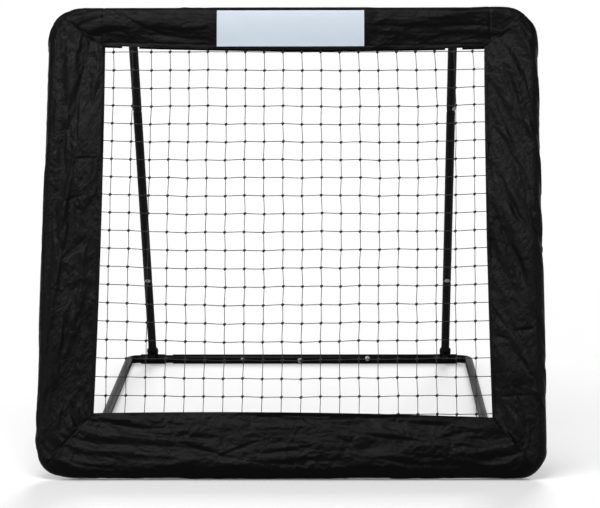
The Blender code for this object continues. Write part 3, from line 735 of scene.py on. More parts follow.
def side_places(turn, world):
    """World places, as rows of x, y, z, as a side's own (along, out, back)."""
    away = world - np.array(MIDDLE)
    across, up, back = (away @ np.array(way) for way in (RIGHT, UP, BACK))
    return np.stack([*own_place(turn, (across, up)), back], axis=1)


def world_points(turn, along, out, back):
    """A side's own places, as whole arrays, as rows of x, y, z."""
    across, up = quarter(turn, along, out)
    ways = (across, RIGHT), (up, UP), (back, BACK)
    places = [np.multiply.outer(part, np.array(way)) for part, way in ways]
    return np.array(MIDDLE) + places[0] + places[1] + places[2]


# Cover: four fabric sleeves, sewn together at the corners

FRONT_ROWS = 46
ARC_ROWS = 22
BACK_ROWS = 20
STRAIGHT_COLUMNS = 460
BEND_COLUMNS = 16
STRAIGHT_KEEP = 0.362
# How quickly the cloth rises from the hem to the tube
HEM_RISE = 1.15
MITRE_GAP = 0.0001
CLOTH = 0.0007
CLOTH_FRAMES = 8
# How the sleeves' nylon behaves while it crumples
NYLON = {
    "quality": 6, "mass": 0.12, "air_damping": 2.0, "tension_stiffness": 60.0, "compression_stiffness": 60.0,
    "shear_stiffness": 15.0, "bending_stiffness": 0.5, "bending_damping": 0.2, "vertex_group_mass": "held",
}
PROUD_MOST = 0.0055
SUNK_MOST = 0.0050
EDGE_MOST = 0.0016
EDGE_SUNK = 0.0007
SLIDE_MOST = 0.0040
START_SHARE = 0.5
CLOTH_SHARE = 0.25
LAID_SHARE = 0.90
# How much wider a groove's lower side is than its upper one
LOWER_SIDE = 1.6
# The folds die out this near to a seam, a hem and the label
SEAM_FADE = 0.005
HEM_FADE = 0.008
LABEL_FADE = 0.030
# How far each corner's cloth is drawn in towards the bend of the tube
CORNER_PULL = {"top_left": 0.0105, "top_right": 0.0060, "bottom_right": 0.0010, "bottom_left": 0.0105}
CORNER_REACH = 0.068
# As far in as the cloth can be drawn before it lies on the steel
STEEL_CLEAR = 0.0002
DRAWN_MOST = COVER_R - FRAME_TUBE_R - CLOTH - STEEL_CLEAR
# How far round from the middle of the tube the cloth lies close, and over how much it lets go, as
# shares of the rows that go round it
CLOSE_ROUND = 0.75
LET_GO = 0.50
# How far the foam under a sleeve swells it outwards between its corners
SWELL = {"top": 0.0, "right": 0.0022, "bottom": -0.0010, "left": -0.0013}
SWELL_REACH = 0.080
MITRE_DEPTH = 0.0005
MITRE_WIDTH = 0.0010
HEM_STRIP = 0.0075
HEM_RAISE = 0.0005
HEM_STITCH = 0.0009
SEAM_WIDTH = 0.0014
# Where the top sleeve is pieced together near its corners
CROSS_SEAMS = (-0.387, 0.405)
FLOOR_CLEAR = 0.0002
SLOT_HALF = 0.0180
# How far each slot reaches either side of the middle, and how far round the tube from the back, in degrees
SLOT_SPANS = {
    "top": (STRUT_TOP_X - SLOT_HALF, STRUT_TOP_X + SLOT_HALF),
    "bottom": (SIDE_TUBE_X - SLOT_HALF, HALF),
}
SLOT_ROUND = {"top": 56.0, "bottom": 34.0}
# Each sleeve's pattern starts this much further on, so that no two are alike
UV_STEP = 1.3
# How many of a cloth's faces are asked which way it faces
FACES_ASKED = 400

# Corners and middles of the net's opening, in the frame's plane, from its middle
OPENING = {
    "top_left": (-0.3830, 0.4145),
    "top_right": (0.3931, 0.4098),
    "bottom_right": (0.3964, -0.3777),
    "bottom_left": (-0.3868, -0.3686),
    "top": (-0.0041, 0.4053),
    "right": (0.3920, -0.0401),
    "bottom": (-0.0202, -0.3671),
    "left": (-0.3818, -0.0076),
}
SIDES = ("top", "right", "bottom", "left")
CORNERS = ("top_left", "top_right", "bottom_right", "bottom_left")


def hem_line(turn, along):
    """How far out the hem lies, on the curve through its corners and its middle."""
    names = (CORNERS[turn], SIDES[turn], CORNERS[(turn + 1) % 4])
    (a0, o0), (a1, o1), (a2, o2) = [own_place(turn, OPENING[name]) for name in names]
    first = o0 * (along - a1) * (along - a2) / ((a0 - a1) * (a0 - a2))
    second = o1 * (along - a0) * (along - a2) / ((a1 - a0) * (a1 - a2))
    third = o2 * (along - a0) * (along - a1) / ((a2 - a0) * (a2 - a1))
    return first + second + third


def sleeve_columns(turn):
    """Mitre to mitre: the tube's place (along, out), the way outwards, and the hem's place."""
    arc_centre = TUBE_HALF - FRAME_BEND
    bend = [45.0 + 45.0 * i / BEND_COLUMNS for i in range(BEND_COLUMNS)]
    angles = [180.0 - degrees for degrees in bend] + [90.0] * (STRAIGHT_COLUMNS + 1) + bend[::-1]
    angles = np.radians(np.array(angles))
    straight = np.linspace(-arc_centre, arc_centre, STRAIGHT_COLUMNS + 1)
    middle = np.concatenate([[-arc_centre] * BEND_COLUMNS, straight, [arc_centre] * BEND_COLUMNS])
    outward = np.stack([np.cos(angles), np.sin(angles)])
    centre_along = middle + FRAME_BEND * outward[0]
    centre_out = arc_centre + FRAME_BEND * outward[1]
    reach = np.abs(centre_along).max()
    start, end = (own_place(turn, OPENING[CORNERS[corner % 4]]) for corner in (turn, turn + 1))
    hem_end = np.where(centre_along < 0, -start[0], end[0])
    beyond = np.maximum(0.0, np.abs(centre_along) - STRAIGHT_KEEP) / (reach - STRAIGHT_KEEP)
    hem = np.minimum(np.abs(centre_along), STRAIGHT_KEEP) + beyond * (hem_end - STRAIGHT_KEEP)
    hem_along = hem * np.sign(centre_along)
    return centre_along, centre_out, outward, hem_along, hem_line(turn, hem_along)


def front_height(step):
    """How far the front flap stands before the frame's plane, a share of the way from hem to tube."""
    return HEM_HALF + (COVER_R - HEM_HALF) * math.sin(step * math.pi / 2) ** HEM_RISE


def sleeve_grid(turn):
    """Arrays of the sleeve's (along, out, back), by column and row, with no folds yet."""
    centre_along, centre_out, outward, hem_along, hem_out = sleeve_columns(turn)
    rows = []

    def add_flap_row(step, back):
        along = hem_along + (centre_along - hem_along) * step
        rows.append((along, hem_out + (centre_out - hem_out) * step, np.full_like(along, back)))

    for i in range(FRONT_ROWS):
        add_flap_row(i / FRONT_ROWS, -front_height(i / FRONT_ROWS))
    for i in range(ARC_ROWS):
        angle = math.pi * (i / ARC_ROWS - 0.5)
        reach = COVER_R * math.cos(angle)
        along = centre_along + outward[0] * reach
        rows.append((along, centre_out + outward[1] * reach, np.full_like(along, COVER_R * math.sin(angle))))
    for i in range(BACK_ROWS + 1):
        step = 1 - i / BACK_ROWS
        add_flap_row(step, HEM_HALF + (COVER_R - HEM_HALF) * step)
    grid = np.array(rows).transpose(2, 0, 1)
    grid[0, :, 0] += MITRE_GAP
    grid[-1, :, 0] -= MITRE_GAP
    return grid


def smooth_rise(value, width):
    share = np.clip(value / width, 0.0, 1.0)
    return share * share * (3.0 - 2.0 * share)


# How each sleeve is creased: its spare cloth, the slant of its folds, and how crumpled it is
CREASING = {
    "top": {"seed": 11, "spare": 0.010, "slant": -5.0, "crumple": 0.62},
    "right": {"seed": 23, "spare": 0.012, "slant": 17.0, "crumple": 1.25},
    "bottom": {"seed": 37, "spare": 0.018, "slant": -4.0, "crumple": 1.05},
    "left": {"seed": 41, "spare": 0.015, "slant": -6.0, "crumple": 1.35},
}
# Where a sleeve is crumpled more or less: the least, how much more, and the size and stretch of its patches
PATCHES = (0.75, 0.45, 0.070, 1.8)
# Sheets of facets laid over each other: size across, how much longer along, turn off the slant, rise
FACET_SHEETS = (
    (0.020, 7.0, 0.0, 0.0054),
    (0.012, 5.5, 6.0, 0.0024),
    (0.008, 3.5, -9.0, 0.0011),
    (0.006, 2.0, 20.0, 0.0006),
)
# How far a facet's corners are scattered, as a share of its size
SCATTER = 0.45
# How a fold narrows towards its ends: its start, and the least and the most of its width
FOLD_NARROWS = (1.2, 0.3, 1.0)
# How a fold sinks towards its ends: its start and its curve
FOLD_SINKS = (1.15, 0.6)
# The folds that stand out, by side: middle along and out, turn, half length, half width, rise, bow
FOLDS = {
    "top": (
        (-0.290, 0.450, -21, 0.086, 0.007, -0.0034, -0.19), (-0.235, 0.445, 0, 0.077, 0.005, -0.0022, -0.08),
        (-0.430, 0.435, -26, 0.042, 0.005, -0.0026, 0.0), (0.290, 0.455, 0, 0.146, 0.007, -0.0034, -0.04),
        (0.330, 0.430, 7, 0.070, 0.006, -0.0024, 0.13), (0.405, 0.440, 19, 0.075, 0.004, -0.0020, -0.10),
        (0.280, 0.470, -3, 0.080, 0.005, -0.0014, -0.06),
    ),
    "right": (
        (-0.260, 0.435, 20, 0.070, 0.010, -0.0046, 0.0), (-0.220, 0.475, 32, 0.050, 0.008, -0.0032, -0.10),
        (-0.180, 0.435, 23, 0.070, 0.009, -0.0036, 0.15), (-0.070, 0.445, 23, 0.060, 0.011, -0.0046, -0.15),
        (-0.130, 0.462, 22, 0.060, 0.007, -0.0030, 0.10), (-0.330, 0.445, 16, 0.050, 0.008, -0.0030, 0.0),
        (0.060, 0.450, 20, 0.062, 0.012, -0.0050, 0.0), (0.175, 0.415, 31, 0.033, 0.006, -0.0028, -0.10),
        (0.200, 0.460, 95, 0.025, 0.005, -0.0026, 0.0), (0.215, 0.420, 65, 0.017, 0.004, -0.0022, 0.0),
        (0.270, 0.455, 25, 0.032, 0.005, -0.0026, 0.20), (0.335, 0.440, 90, 0.030, 0.004, -0.0020, 0.0),
        (0.420, 0.430, 40, 0.036, 0.004, 0.0020, 0.0),
    ),
    "bottom": (
        (0.320, 0.390, -11, 0.080, 0.006, -0.0040, 0.15), (0.170, 0.445, -18, 0.088, 0.007, -0.0036, 0.10),
        (0.010, 0.468, 4, 0.088, 0.005, -0.0024, 0.12), (0.040, 0.381, 0, 0.060, 0.006, -0.0030, 0.07),
        (-0.210, 0.420, -6, 0.075, 0.006, -0.0034, 0.0), (-0.330, 0.410, 12, 0.060, 0.005, -0.0020, -0.20),
        (-0.340, 0.430, -7, 0.066, 0.005, -0.0020, 0.08), (-0.265, 0.455, -5, 0.066, 0.005, -0.0022, 0.0),
        (-0.230, 0.465, -4, 0.083, 0.004, -0.0016, 0.14), (0.100, 0.445, 22, 0.049, 0.004, -0.0020, 0.0),
        (0.365, 0.483, -2, 0.090, 0.005, -0.0020, 0.0),
    ),
    "left": (
        (0.355, 0.455, -9, 0.040, 0.004, 0.0026, 0.0), (0.210, 0.455, 0, 0.060, 0.005, 0.0024, 0.0),
        (0.235, 0.437, 0, 0.087, 0.006, -0.0024, 0.0), (0.060, 0.455, -47, 0.047, 0.004, -0.0022, 0.36),
        (0.050, 0.434, 0, 0.043, 0.004, -0.0020, -0.44), (0.165, 0.420, 95, 0.027, 0.003, -0.0014, 0.0),
        (-0.030, 0.437, -43, 0.040, 0.006, -0.0024, 0.0), (-0.090, 0.430, -6, 0.035, 0.004, 0.0024, 0.0),
        (-0.160, 0.445, -24, 0.026, 0.004, 0.0020, 0.0), (-0.230, 0.452, -16, 0.022, 0.004, 0.0020, 0.0),
        (-0.205, 0.401, -6, 0.027, 0.004, 0.0018, 0.0), (-0.375, 0.450, -20, 0.033, 0.006, 0.0030, 0.0),
        (-0.413, 0.428, -44, 0.030, 0.004, -0.0030, 0.0),
    ),
}


def fold_height(along, out, fold, up_way):
    """One fold: a bent line with a flat facet on each side of it, the lower one of a groove less steep."""
    middle_along, middle_out, degrees, half_length, half_width, rise, bow = fold
    angle = math.radians(degrees)
    across, up = along - middle_along, out - middle_out
    down_line = (across * math.cos(angle) + up * math.sin(angle)) / half_length
    off_line = up * math.cos(angle) - across * math.sin(angle) - bow * half_length * (0.5 - down_line ** 2)
    upness = up_way[1] * math.cos(angle) - up_way[0] * math.sin(angle)
    gentler = 1.0 + LOWER_SIDE * abs(upness) * (rise < 0) * (off_line * upness < 0)
    wide, least, most = FOLD_NARROWS
    width = half_width * gentler * np.clip(wide - np.abs(down_line), least, most)
    facets = np.clip(1.0 - np.abs(off_line) / width, 0.0, 1.0)
    full, curve = FOLD_SINKS
    return rise * np.clip(full * (1.0 - np.abs(down_line)), 0.0, 1.0) ** curve * facets


def facet_sheet(dice, along, run, size, stretch, degrees):
    """Flat facets between scattered points, from -1 to 1, longer along the folds than across them."""
    slant = math.radians(degrees)
    first = (along * math.cos(slant) + run * math.sin(slant)) / (size * stretch)
    second = (run * math.cos(slant) - along * math.sin(slant)) / size
    spots = []
    for i in range(math.floor(first.min()) - 1, math.ceil(first.max()) + 2):
        for j in range(math.floor(second.min()) - 1, math.ceil(second.max()) + 2):
            spots.append(Vector((i + dice.uniform(-SCATTER, SCATTER), j + dice.uniform(-SCATTER, SCATTER))))
    joined = delaunay_2d_cdt(spots, [], [], 0, 1e-6)
    corners = [Vector((spot.x, spot.y, dice.uniform(-1.0, 1.0))) for spot in joined[0]]
    sheet = BVHTree.FromPolygons(corners, joined[2])
    heights = np.zeros(first.size)
    for number, spot in enumerate(zip(first.ravel(), second.ravel())):
        found = sheet.ray_cast(Vector((*spot, 2.0)), Vector((0.0, 0.0, -1.0)))[0]
        if found:
            heights[number] = found.z
    return heights.reshape(first.shape)


def surface_of(grid):
    """Distances along and round a sleeve's cloth, and its outward normals."""
    around = np.linalg.norm(np.diff(grid, axis=1), axis=2)
    run = np.concatenate([np.zeros((len(grid), 1)), np.cumsum(around, axis=1)], axis=1)
    along = np.linalg.norm(np.diff(grid, axis=0), axis=2)
    travel = np.concatenate([np.zeros((1, grid.shape[1])), np.cumsum(along, axis=0)])
    normal = np.cross(np.gradient(grid, axis=0), np.gradient(grid, axis=1))
    normal /= np.linalg.norm(normal, axis=2, keepdims=True) + 1e-12
    if normal[len(grid) // 2, FRONT_ROWS // 2, 2] > 0:
        normal = -normal
    return run, travel, normal


def creases(turn, grid):
    """How far each point of a sleeve is folded out or in."""
    run, travel, _ = surface_of(grid)
    plan = CREASING[SIDES[turn]]
    dice = random.Random(plan["seed"])
    along = grid[:, :, 0]
    least, more, patch, stretch = PATCHES
    crumple = plan["crumple"] * (least + more * facet_sheet(dice, along, run, patch, stretch, plan["slant"]))
    height = np.zeros_like(run)
    for size, stretch, turned, rise in FACET_SHEETS:
        height += crumple * rise * facet_sheet(dice, along, run, size, stretch, plan["slant"] + turned)
    out = run + own_place(turn, OPENING[SIDES[turn]])[1]
    for fold in FOLDS[SIDES[turn]]:
        height += fold_height(along, out, fold, own_place(turn, (0.0, 1.0)))
    ends = smooth_rise(np.minimum(travel, travel[-1] - travel), SEAM_FADE)
    hems = smooth_rise(run, HEM_FADE) * smooth_rise(run[:, -1:] - run, HEM_FADE)
    return height * ends * hems * (1.0 - under_label(turn, grid))


def under_label(turn, grid):
    """One where the top sleeve carries the label, and nought a little way off it."""
    if turn:
        return np.zeros(grid.shape[:2])
    beyond = np.abs(grid[:, :, 0] - LABEL_CENTRE) - LABEL_WIDTH / 2
    return (grid[:, :, 2] < 0) * (1.0 - smooth_rise(beyond, LABEL_FADE))


def hung_cloth(turn, grid):
    """A sleeve as Blender's cloth, held at its hems and seams and cut a little too large."""
    columns, rows = grid.shape[:2]
    obj, (i, j) = cloth_mesh("trial", turn, grid)
    held = obj.vertex_groups.new(name="held")
    edges = (i == 0) | (i == columns - 1) | (j == 0) | (j == rows - 1)
    held.add([int(index) for index in np.flatnonzero(edges)], 1.0, "REPLACE")
    cloth = obj.modifiers.new("crumple", "CLOTH")
    feel = cloth.settings
    for setting, value in NYLON.items():
        setattr(feel, setting, value)
    feel.shrink_min = -CREASING[SIDES[turn]]["spare"]
    feel.effector_weights.gravity = 0.0
    cloth.collision_settings.use_collision = False
    cloth.point_cache.frame_start = 1
    cloth.point_cache.frame_end = CLOTH_FRAMES
    return obj, i, j


def refined(coarse):
    """The same values with one more halfway between each two, both ways."""
    fine = np.empty((2 * coarse.shape[0] - 1, 2 * coarse.shape[1] - 1, 3))
    fine[::2, ::2] = coarse
    fine[1::2, ::2] = (coarse[:-1] + coarse[1:]) / 2
    fine[:, 1::2] = (fine[:, :-1:2] + fine[:, 2::2]) / 2
    return fine


def settled_shifts(starts, coarse):
    """Let the four sleeves crumple together as cloth, and read how far each point has moved."""
    trials = [hung_cloth(turn, start) for turn, start in enumerate(starts)]
    scene = bpy.context.scene
    for step in range(1, CLOTH_FRAMES + 1):
        scene.frame_set(step)
    graph = bpy.context.evaluated_depsgraph_get()
    shifts = []
    for turn, ((obj, i, j), grid) in enumerate(zip(trials, coarse)):
        shape = np.empty_like(grid)
        shape[i, j] = side_places(turn, points_of(obj.evaluated_get(graph).to_mesh()))
        shifts.append(shape - grid)
    for obj, _, _ in trials:
        bpy.data.objects.remove(obj, do_unlink=True)
    scene.frame_set(1)
    return shifts


def crumpled(plain):
    """The sleeves with their folds: part of each given to the simulation, the rest laid over it."""
    folded = []
    for turn, grid in enumerate(plain):
        normal = surface_of(grid)[2]
        folded.append(normal * creases(turn, grid)[:, :, None])
    coarse = [grid[::2, ::2] for grid in plain]
    starts = [grid + START_SHARE * shift[::2, ::2] for grid, shift in zip(coarse, folded)]
    shifts = settled_shifts(starts, coarse)
    return [
        capped(turn, grid, grid + CLOTH_SHARE * refined(shifts[turn]) + LAID_SHARE * folded[turn])
        for turn, grid in enumerate(plain)
    ]


def capped(turn, plain, shape):
    """Keep each point within reach of the plain sleeve, more outwards than in."""
    run, travel, normal = surface_of(plain)
    shift = shape - plain
    out = (shift * normal).sum(axis=2)
    slide = shift - normal * out[:, :, None]
    # Over the tube and its foam the cloth lies close; on the flaps it may stand off or sink.
    middle_row = FRONT_ROWS + ARC_ROWS / 2
    from_middle = np.abs(np.arange(plain.shape[1]) - middle_row)
    over_tube = smooth_rise(ARC_ROWS * CLOSE_ROUND - from_middle, ARC_ROWS * LET_GO)
    proud = PROUD_MOST + (EDGE_MOST - PROUD_MOST) * over_tube
    sunk = SUNK_MOST + (EDGE_SUNK - SUNK_MOST) * over_tube
    out = np.where(out > 0, proud * np.tanh(out / proud), -sunk * np.tanh(-out / sunk))
    far = np.linalg.norm(slide, axis=2, keepdims=True)
    slide *= np.minimum(1.0, SLIDE_MOST / (far + 1e-9))
    from_end = np.minimum(travel, travel[-1] - travel)
    for away, corner in ((travel, CORNERS[turn]), (travel[-1] - travel, CORNERS[(turn + 1) % 4])):
        out -= CORNER_PULL[corner] * over_tube * (1.0 - smooth_rise(away, CORNER_REACH))
    out += SWELL[SIDES[turn]] * over_tube * smooth_rise(from_end, SWELL_REACH)
    out *= 1.0 - under_label(turn, plain)
    out -= MITRE_DEPTH * groove(from_end, MITRE_WIDTH)
    # Each hem is turned over and stitched, which leaves a raised strip and a line sunk beside it.
    from_hem = np.minimum(run, run[:, -1:] - run)
    out += HEM_RAISE * (from_hem < HEM_STRIP) - HEM_STITCH * groove(from_hem - HEM_STRIP, SEAM_WIDTH)
    if turn == 0:
        for place in CROSS_SEAMS:
            out -= HEM_STITCH * groove(plain[:, :, 0] - place, SEAM_WIDTH)
    out = np.maximum(out, -DRAWN_MOST)
    return plain + slide + normal * out[:, :, None]


def groove(away, width):
    return np.exp(-(away / width) ** 2)


def grid_cells(mesh, columns, rows):
    """The column and row of each of a grid primitive's points."""
    places = points_of(mesh)
    i = np.rint((places[:, 0] + 1.0) / 2.0 * (columns - 1)).astype(int)
    j = np.rint((places[:, 1] + 1.0) / 2.0 * (rows - 1)).astype(int)
    return i, j


def cloth_mesh(name, turn, grid):
    """A grid primitive laid over the sleeve's places, with its own UV map in metres."""
    columns, rows = grid.shape[:2]
    flat = bpy.ops.mesh.primitive_grid_add
    obj = add_primitive(flat, x_subdivisions=columns - 1, y_subdivisions=rows - 1, size=2.0)
    obj.name = name
    mesh = obj.data
    i, j = grid_cells(mesh, columns, rows)
    place = grid[i, j]
    world = world_points(turn, place[:, 0], place[:, 1], place[:, 2])
    world[:, 2] = np.maximum(world[:, 2], FLOOR_CLEAR)
    mesh.vertices.foreach_set("co", world.ravel())
    uv = mesh.uv_layers.active or mesh.uv_layers.new(name="UVMap")
    corners = np.empty(len(mesh.loops), dtype=np.int64)
    mesh.loops.foreach_get("vertex_index", corners)
    run, travel, _ = surface_of(grid)
    spots = np.stack([travel[i, j] + UV_STEP * turn, run[i, j]], axis=1)
    uv.data.foreach_set("uv", spots[corners].ravel())
    mesh.update()
    return obj, (i, j)


def face_outwards(obj, inside_point):
    """Turn the cloth's faces so that they point away from a place inside the sleeve."""
    mesh = obj.data
    votes = 0.0
    for face in list(mesh.polygons)[:: max(1, len(mesh.polygons) // FACES_ASKED)]:
        votes += face.normal.dot(face.center - inside_point(face.center))
    if votes < 0:
        mesh.flip_normals()


def tube_centre(turn):
    """A function giving the point inside the sleeve's tube that is nearest to a place."""
    across, up = quarter(turn, 0.0, 1.0)
    outward = RIGHT * across + UP * up

    def nearest(place):
        away = place - MIDDLE
        return place - outward * (away.dot(outward) - TUBE_HALF) - BACK * away.dot(BACK)

    return nearest


def cut_slots(obj, cells, side, columns_along):
    """Take out the faces of the back flap where the tees come through."""
    first_row = FRONT_ROWS + ARC_ROWS - round(ARC_ROWS * SLOT_ROUND[side] / 180.0)
    first, last = SLOT_SPANS[side]
    i, j = cells
    bm = bmesh.new()
    bm.from_mesh(obj.data)
    gone = []
    for face in bm.faces:
        column = min(i[vert.index] for vert in face.verts)
        row = min(j[vert.index] for vert in face.verts)
        place = abs(columns_along[column] + columns_along[column + 1]) / 2
        if row >= first_row and first < place < last:
            gone.append(face)
    bmesh.ops.delete(bm, geom=gone, context="FACES")
    bm.to_mesh(obj.data)
    bm.free()


def make_sleeves():
    plain = [sleeve_grid(turn) for turn in range(4)]
    creased = crumpled(plain)
    for turn, side in enumerate(SIDES):
        grid = creased[turn]
        obj, cells = cloth_mesh("sleeve", turn, grid)
        if side in SLOT_SPANS:
            cut_slots(obj, cells, side, plain[turn][:, FRONT_ROWS, 0])
        face_outwards(obj, tube_centre(turn))
        thicken(obj, CLOTH)
        finish_piece(obj, f"cover_sleeve_{side}", "cover_fabric", "frame", f"cover_{side}", smooth=60.0)
        run, travel, _ = surface_of(plain[turn])


# Label: a bare patch sewn to the middle of the top sleeve

LABEL_COLUMNS = 121
LABEL_FRONT_ROWS = 28
LABEL_EDGE_ROWS = 3
# The patch's faint ripple: its height, and its turns along and up
LABEL_RIPPLE = 0.0002
LABEL_RIPPLE_TURNS = (31.0, 40.0)


def make_label():
    """A patch laid over the top sleeve's front and the start of its edge."""
    hem_out = OPENING["top"][1]
    width = TUBE_HALF - hem_out
    along = np.linspace(-LABEL_WIDTH / 2, LABEL_WIDTH / 2, LABEL_COLUMNS) + LABEL_CENTRE
    line = []
    for j in range(LABEL_FRONT_ROWS + 1):
        step = LABEL_LOW / width + (1.0 - LABEL_LOW / width) * j / LABEL_FRONT_ROWS
        line.append((hem_out + width * step, -front_height(step) - LABEL_LIFT))
    for j in range(1, LABEL_EDGE_ROWS + 1):
        angle = math.radians(LABEL_ROUND * j / LABEL_EDGE_ROWS - 90.0)
        reach = COVER_R + LABEL_LIFT
        line.append((TUBE_HALF + reach * math.cos(angle), reach * math.sin(angle)))
    rows = [(along, np.full_like(along, out), np.full_like(along, back)) for out, back in line]
    grid = np.array(rows).transpose(2, 0, 1)
    by_along, by_out = LABEL_RIPPLE_TURNS
    grid[:, :, 2] -= LABEL_RIPPLE * np.sin(by_along * grid[:, :, 0] + by_out * grid[:, :, 1])
    run, _, _ = surface_of(grid)
    obj, _ = cloth_mesh("label", 0, grid)
    face_outwards(obj, tube_centre(0))
    thicken(obj, LABEL_CLOTH)
    finish_piece(obj, "label_patch", "label", "frame", "label_plate", smooth=50.0)


# Net

MESH = 0.03854
NET_LINES = 22
NET_SHIFT = (0.0024, -0.0046)
NET_SKEW = 0.0090
NET_SAG = 0.0020
NET_KINK = 0.0005
NET_BELLY = 0.0070
# How near the rope the net's waves, and its shift, still go on before they die out
WAVES_HOLD = 4
SHIFT_HOLD = 8
# Slow waves of the lines: height, turns from line to line and from row to row, and where each starts
WAVES_ALONG = ((0.0014, 0.40, 0.25, 0.8), (0.0006, 1.3, -0.6, 0.0))
WAVES_ACROSS = ((0.0010, -0.3, 0.35, 2.1), (0.0005, 0.5, 1.5, 0.0))
TWINE_R = 0.00080
TWINE_SIDES = 6
# Pieces of twine to a line of the net
TWINE_STEPS = 4
KNOT = 0.0030
KNOT_SHAPE = (1.0, 0.8, 1.12)
KNOT_PINCH = 0.16
KNOT_TURN = (2.4, 0.6)


def net_waves(across, along):
    """How a knotted net hangs between its edges: (across, along, back) shifts."""
    held = np.clip(1.0 - (np.maximum(np.abs(across), np.abs(along)) / ROPE_HALF) ** WAVES_HOLD, 0.0, 1.0)
    lines, rows = across / MESH, along / MESH

    def waved(waves):
        return sum(rise * np.sin(by_line * lines + by_row * rows + at) for rise, by_line, by_row, at in waves)

    # The right half is drawn askew: out at its top and in at its foot.
    skew = NET_SKEW * np.clip(across / ROPE_HALF, 0.0, 1.0) * along / ROPE_HALF
    slack = np.cos(math.pi * across / (2 * ROPE_HALF))
    kink_along = NET_KINK * np.cos(math.pi * (lines + 0.5))
    kink_across = NET_KINK * np.cos(math.pi * (rows + 0.5))
    back = NET_BELLY * slack * np.cos(math.pi * along / (2 * ROPE_HALF))
    shift_across = waved(WAVES_ACROSS) + skew + kink_across
    shift_along = waved(WAVES_ALONG) - NET_SAG * slack + kink_along
    return held * shift_across, held * shift_along, held * back


def repeated(obj, step):
    """Repeat the active piece once for each line of the net."""
    apply_modifier(
        obj, "ARRAY", count=NET_LINES, use_relative_offset=False, use_constant_offset=True,
        constant_offset_displace=step,
    )


def twine_grid(name, upright):
    """One long twine, subdivided along its length, and repeated."""
    length = 2 * ROPE_HALF
    rod = bpy.ops.mesh.primitive_cylinder_add
    obj = add_primitive(rod, vertices=TWINE_SIDES, radius=TWINE_R, depth=length, end_fill_type="NGON")
    obj.name = name
    bm = bmesh.new()
    bm.from_mesh(obj.data)
    long_edges = [edge for edge in bm.edges if edge.calc_length() > length / 2]
    bmesh.ops.subdivide_edges(bm, edges=long_edges, cuts=TWINE_STEPS * NET_LINES - 1)
    bm.to_mesh(obj.data)
    bm.free()
    if not upright:
        obj.rotation_euler = (0.0, math.pi / 2, 0.0)
    span = MESH * (NET_LINES - 1)
    obj.location = (-span / 2, 0.0, 0.0) if upright else (0.0, 0.0, -span / 2)
    apply_place()
    repeated(obj, (MESH, 0.0, 0.0) if upright else (0.0, 0.0, MESH))
    return obj


def knot_grid():
    """One knot, pinched where the twine crosses over itself, and repeated both ways."""
    obj = add_primitive(bpy.ops.mesh.primitive_uv_sphere_add, segments=8, ring_count=6, radius=KNOT)
    obj.name = "knots"
    bpy.ops.object.mode_set(mode="EDIT")
    bpy.ops.mesh.select_all(action="SELECT")
    bpy.ops.transform.resize(value=KNOT_SHAPE)
    bpy.ops.object.mode_set(mode="OBJECT")
    turns, start = KNOT_TURN
    for vert in obj.data.vertices:
        pinch = 1.0 + KNOT_PINCH * math.sin(turns * math.atan2(vert.co.z, vert.co.x) + start)
        vert.co.x *= pinch
        vert.co.z *= pinch
    span = MESH * (NET_LINES - 1)
    obj.location = (-span / 2, 0.0, -span / 2)
    apply_place()
    repeated(obj, (MESH, 0.0, 0.0))
    repeated(obj, (0.0, 0.0, MESH))
    return obj


def make_net():
    pieces = [twine_grid("uprights", True), twine_grid("levels", False), knot_grid()]
    clear_selection()
    for piece in pieces:
        piece.select_set(True)
    bpy.context.view_layer.objects.active = pieces[0]
    bpy.ops.object.join()
    net = bpy.context.object
    places = points_of(net.data)
    held = 1.0 - (np.maximum(np.abs(places[:, 0]), np.abs(places[:, 2])) / ROPE_HALF) ** SHIFT_HOLD
    across = places[:, 0] + NET_SHIFT[0] * held
    along = places[:, 2] + NET_SHIFT[1] * held
    waves = net_waves(across, along)
    world = world_points(0, across + waves[0], along + waves[1], -places[:, 1] + waves[2])
    net.data.vertices.foreach_set("co", world.ravel())
    net.data.update()
    finish_piece(net, "knotted_net", "net_twine", "frame", "net", smooth=180.0)


# Border rope and elastic loops, inside the cover

ROPE_STEPS = 8
ROPE_SIDES = 10


def closed_cord(points, radius, sides):
    """A round cord through points and back to its start, with UVs that run along it and round it."""
    curve = bpy.data.curves.new("cord", "CURVE")
    curve.dimensions = "3D"
    curve.bevel_depth = radius
    curve.bevel_resolution = (sides - 4) // 2
    spline = curve.splines.new("POLY")
    spline.points.add(len(points) - 1)
    for point, place in zip(spline.points, points):
        point.co = (*place, 1.0)
    spline.use_cyclic_u = True
    obj = bpy.data.objects.new("cord", curve)
    bpy.context.scene.collection.objects.link(obj)
    only(obj)
    bpy.ops.object.convert(target="MESH")
    return bpy.context.object


def make_rope():
    arc_centre = ROPE_HALF - ROPE_BEND
    points = []
    for turn in range(4):
        for i in range(ROPE_STEPS + 1):
            angle = math.pi / 2 * (1 - i / ROPE_STEPS)
            place = (arc_centre + ROPE_BEND * math.cos(angle), arc_centre + ROPE_BEND * math.sin(angle))
            points.append(on_frame(*quarter(turn, *place), 0.0))
    rope = closed_cord(points, ROPE_R, ROPE_SIDES)
    finish_piece(rope, "border_rope", "rope", "frame", "net_border_rope", smooth=180.0)


LOOP_CORD_R = 0.0013
LOOP_CLEAR = 0.0007
LOOP_INSET = 0.00355
LOOP_ROUND_ROPE = 0.0025 / math.sqrt(2)
NET_CELLS = 16
LOOP_SIDES = 8
# Steps of a loop round the tube and round the rope
TUBE_STEPS = 24
CORD_STEPS = 8


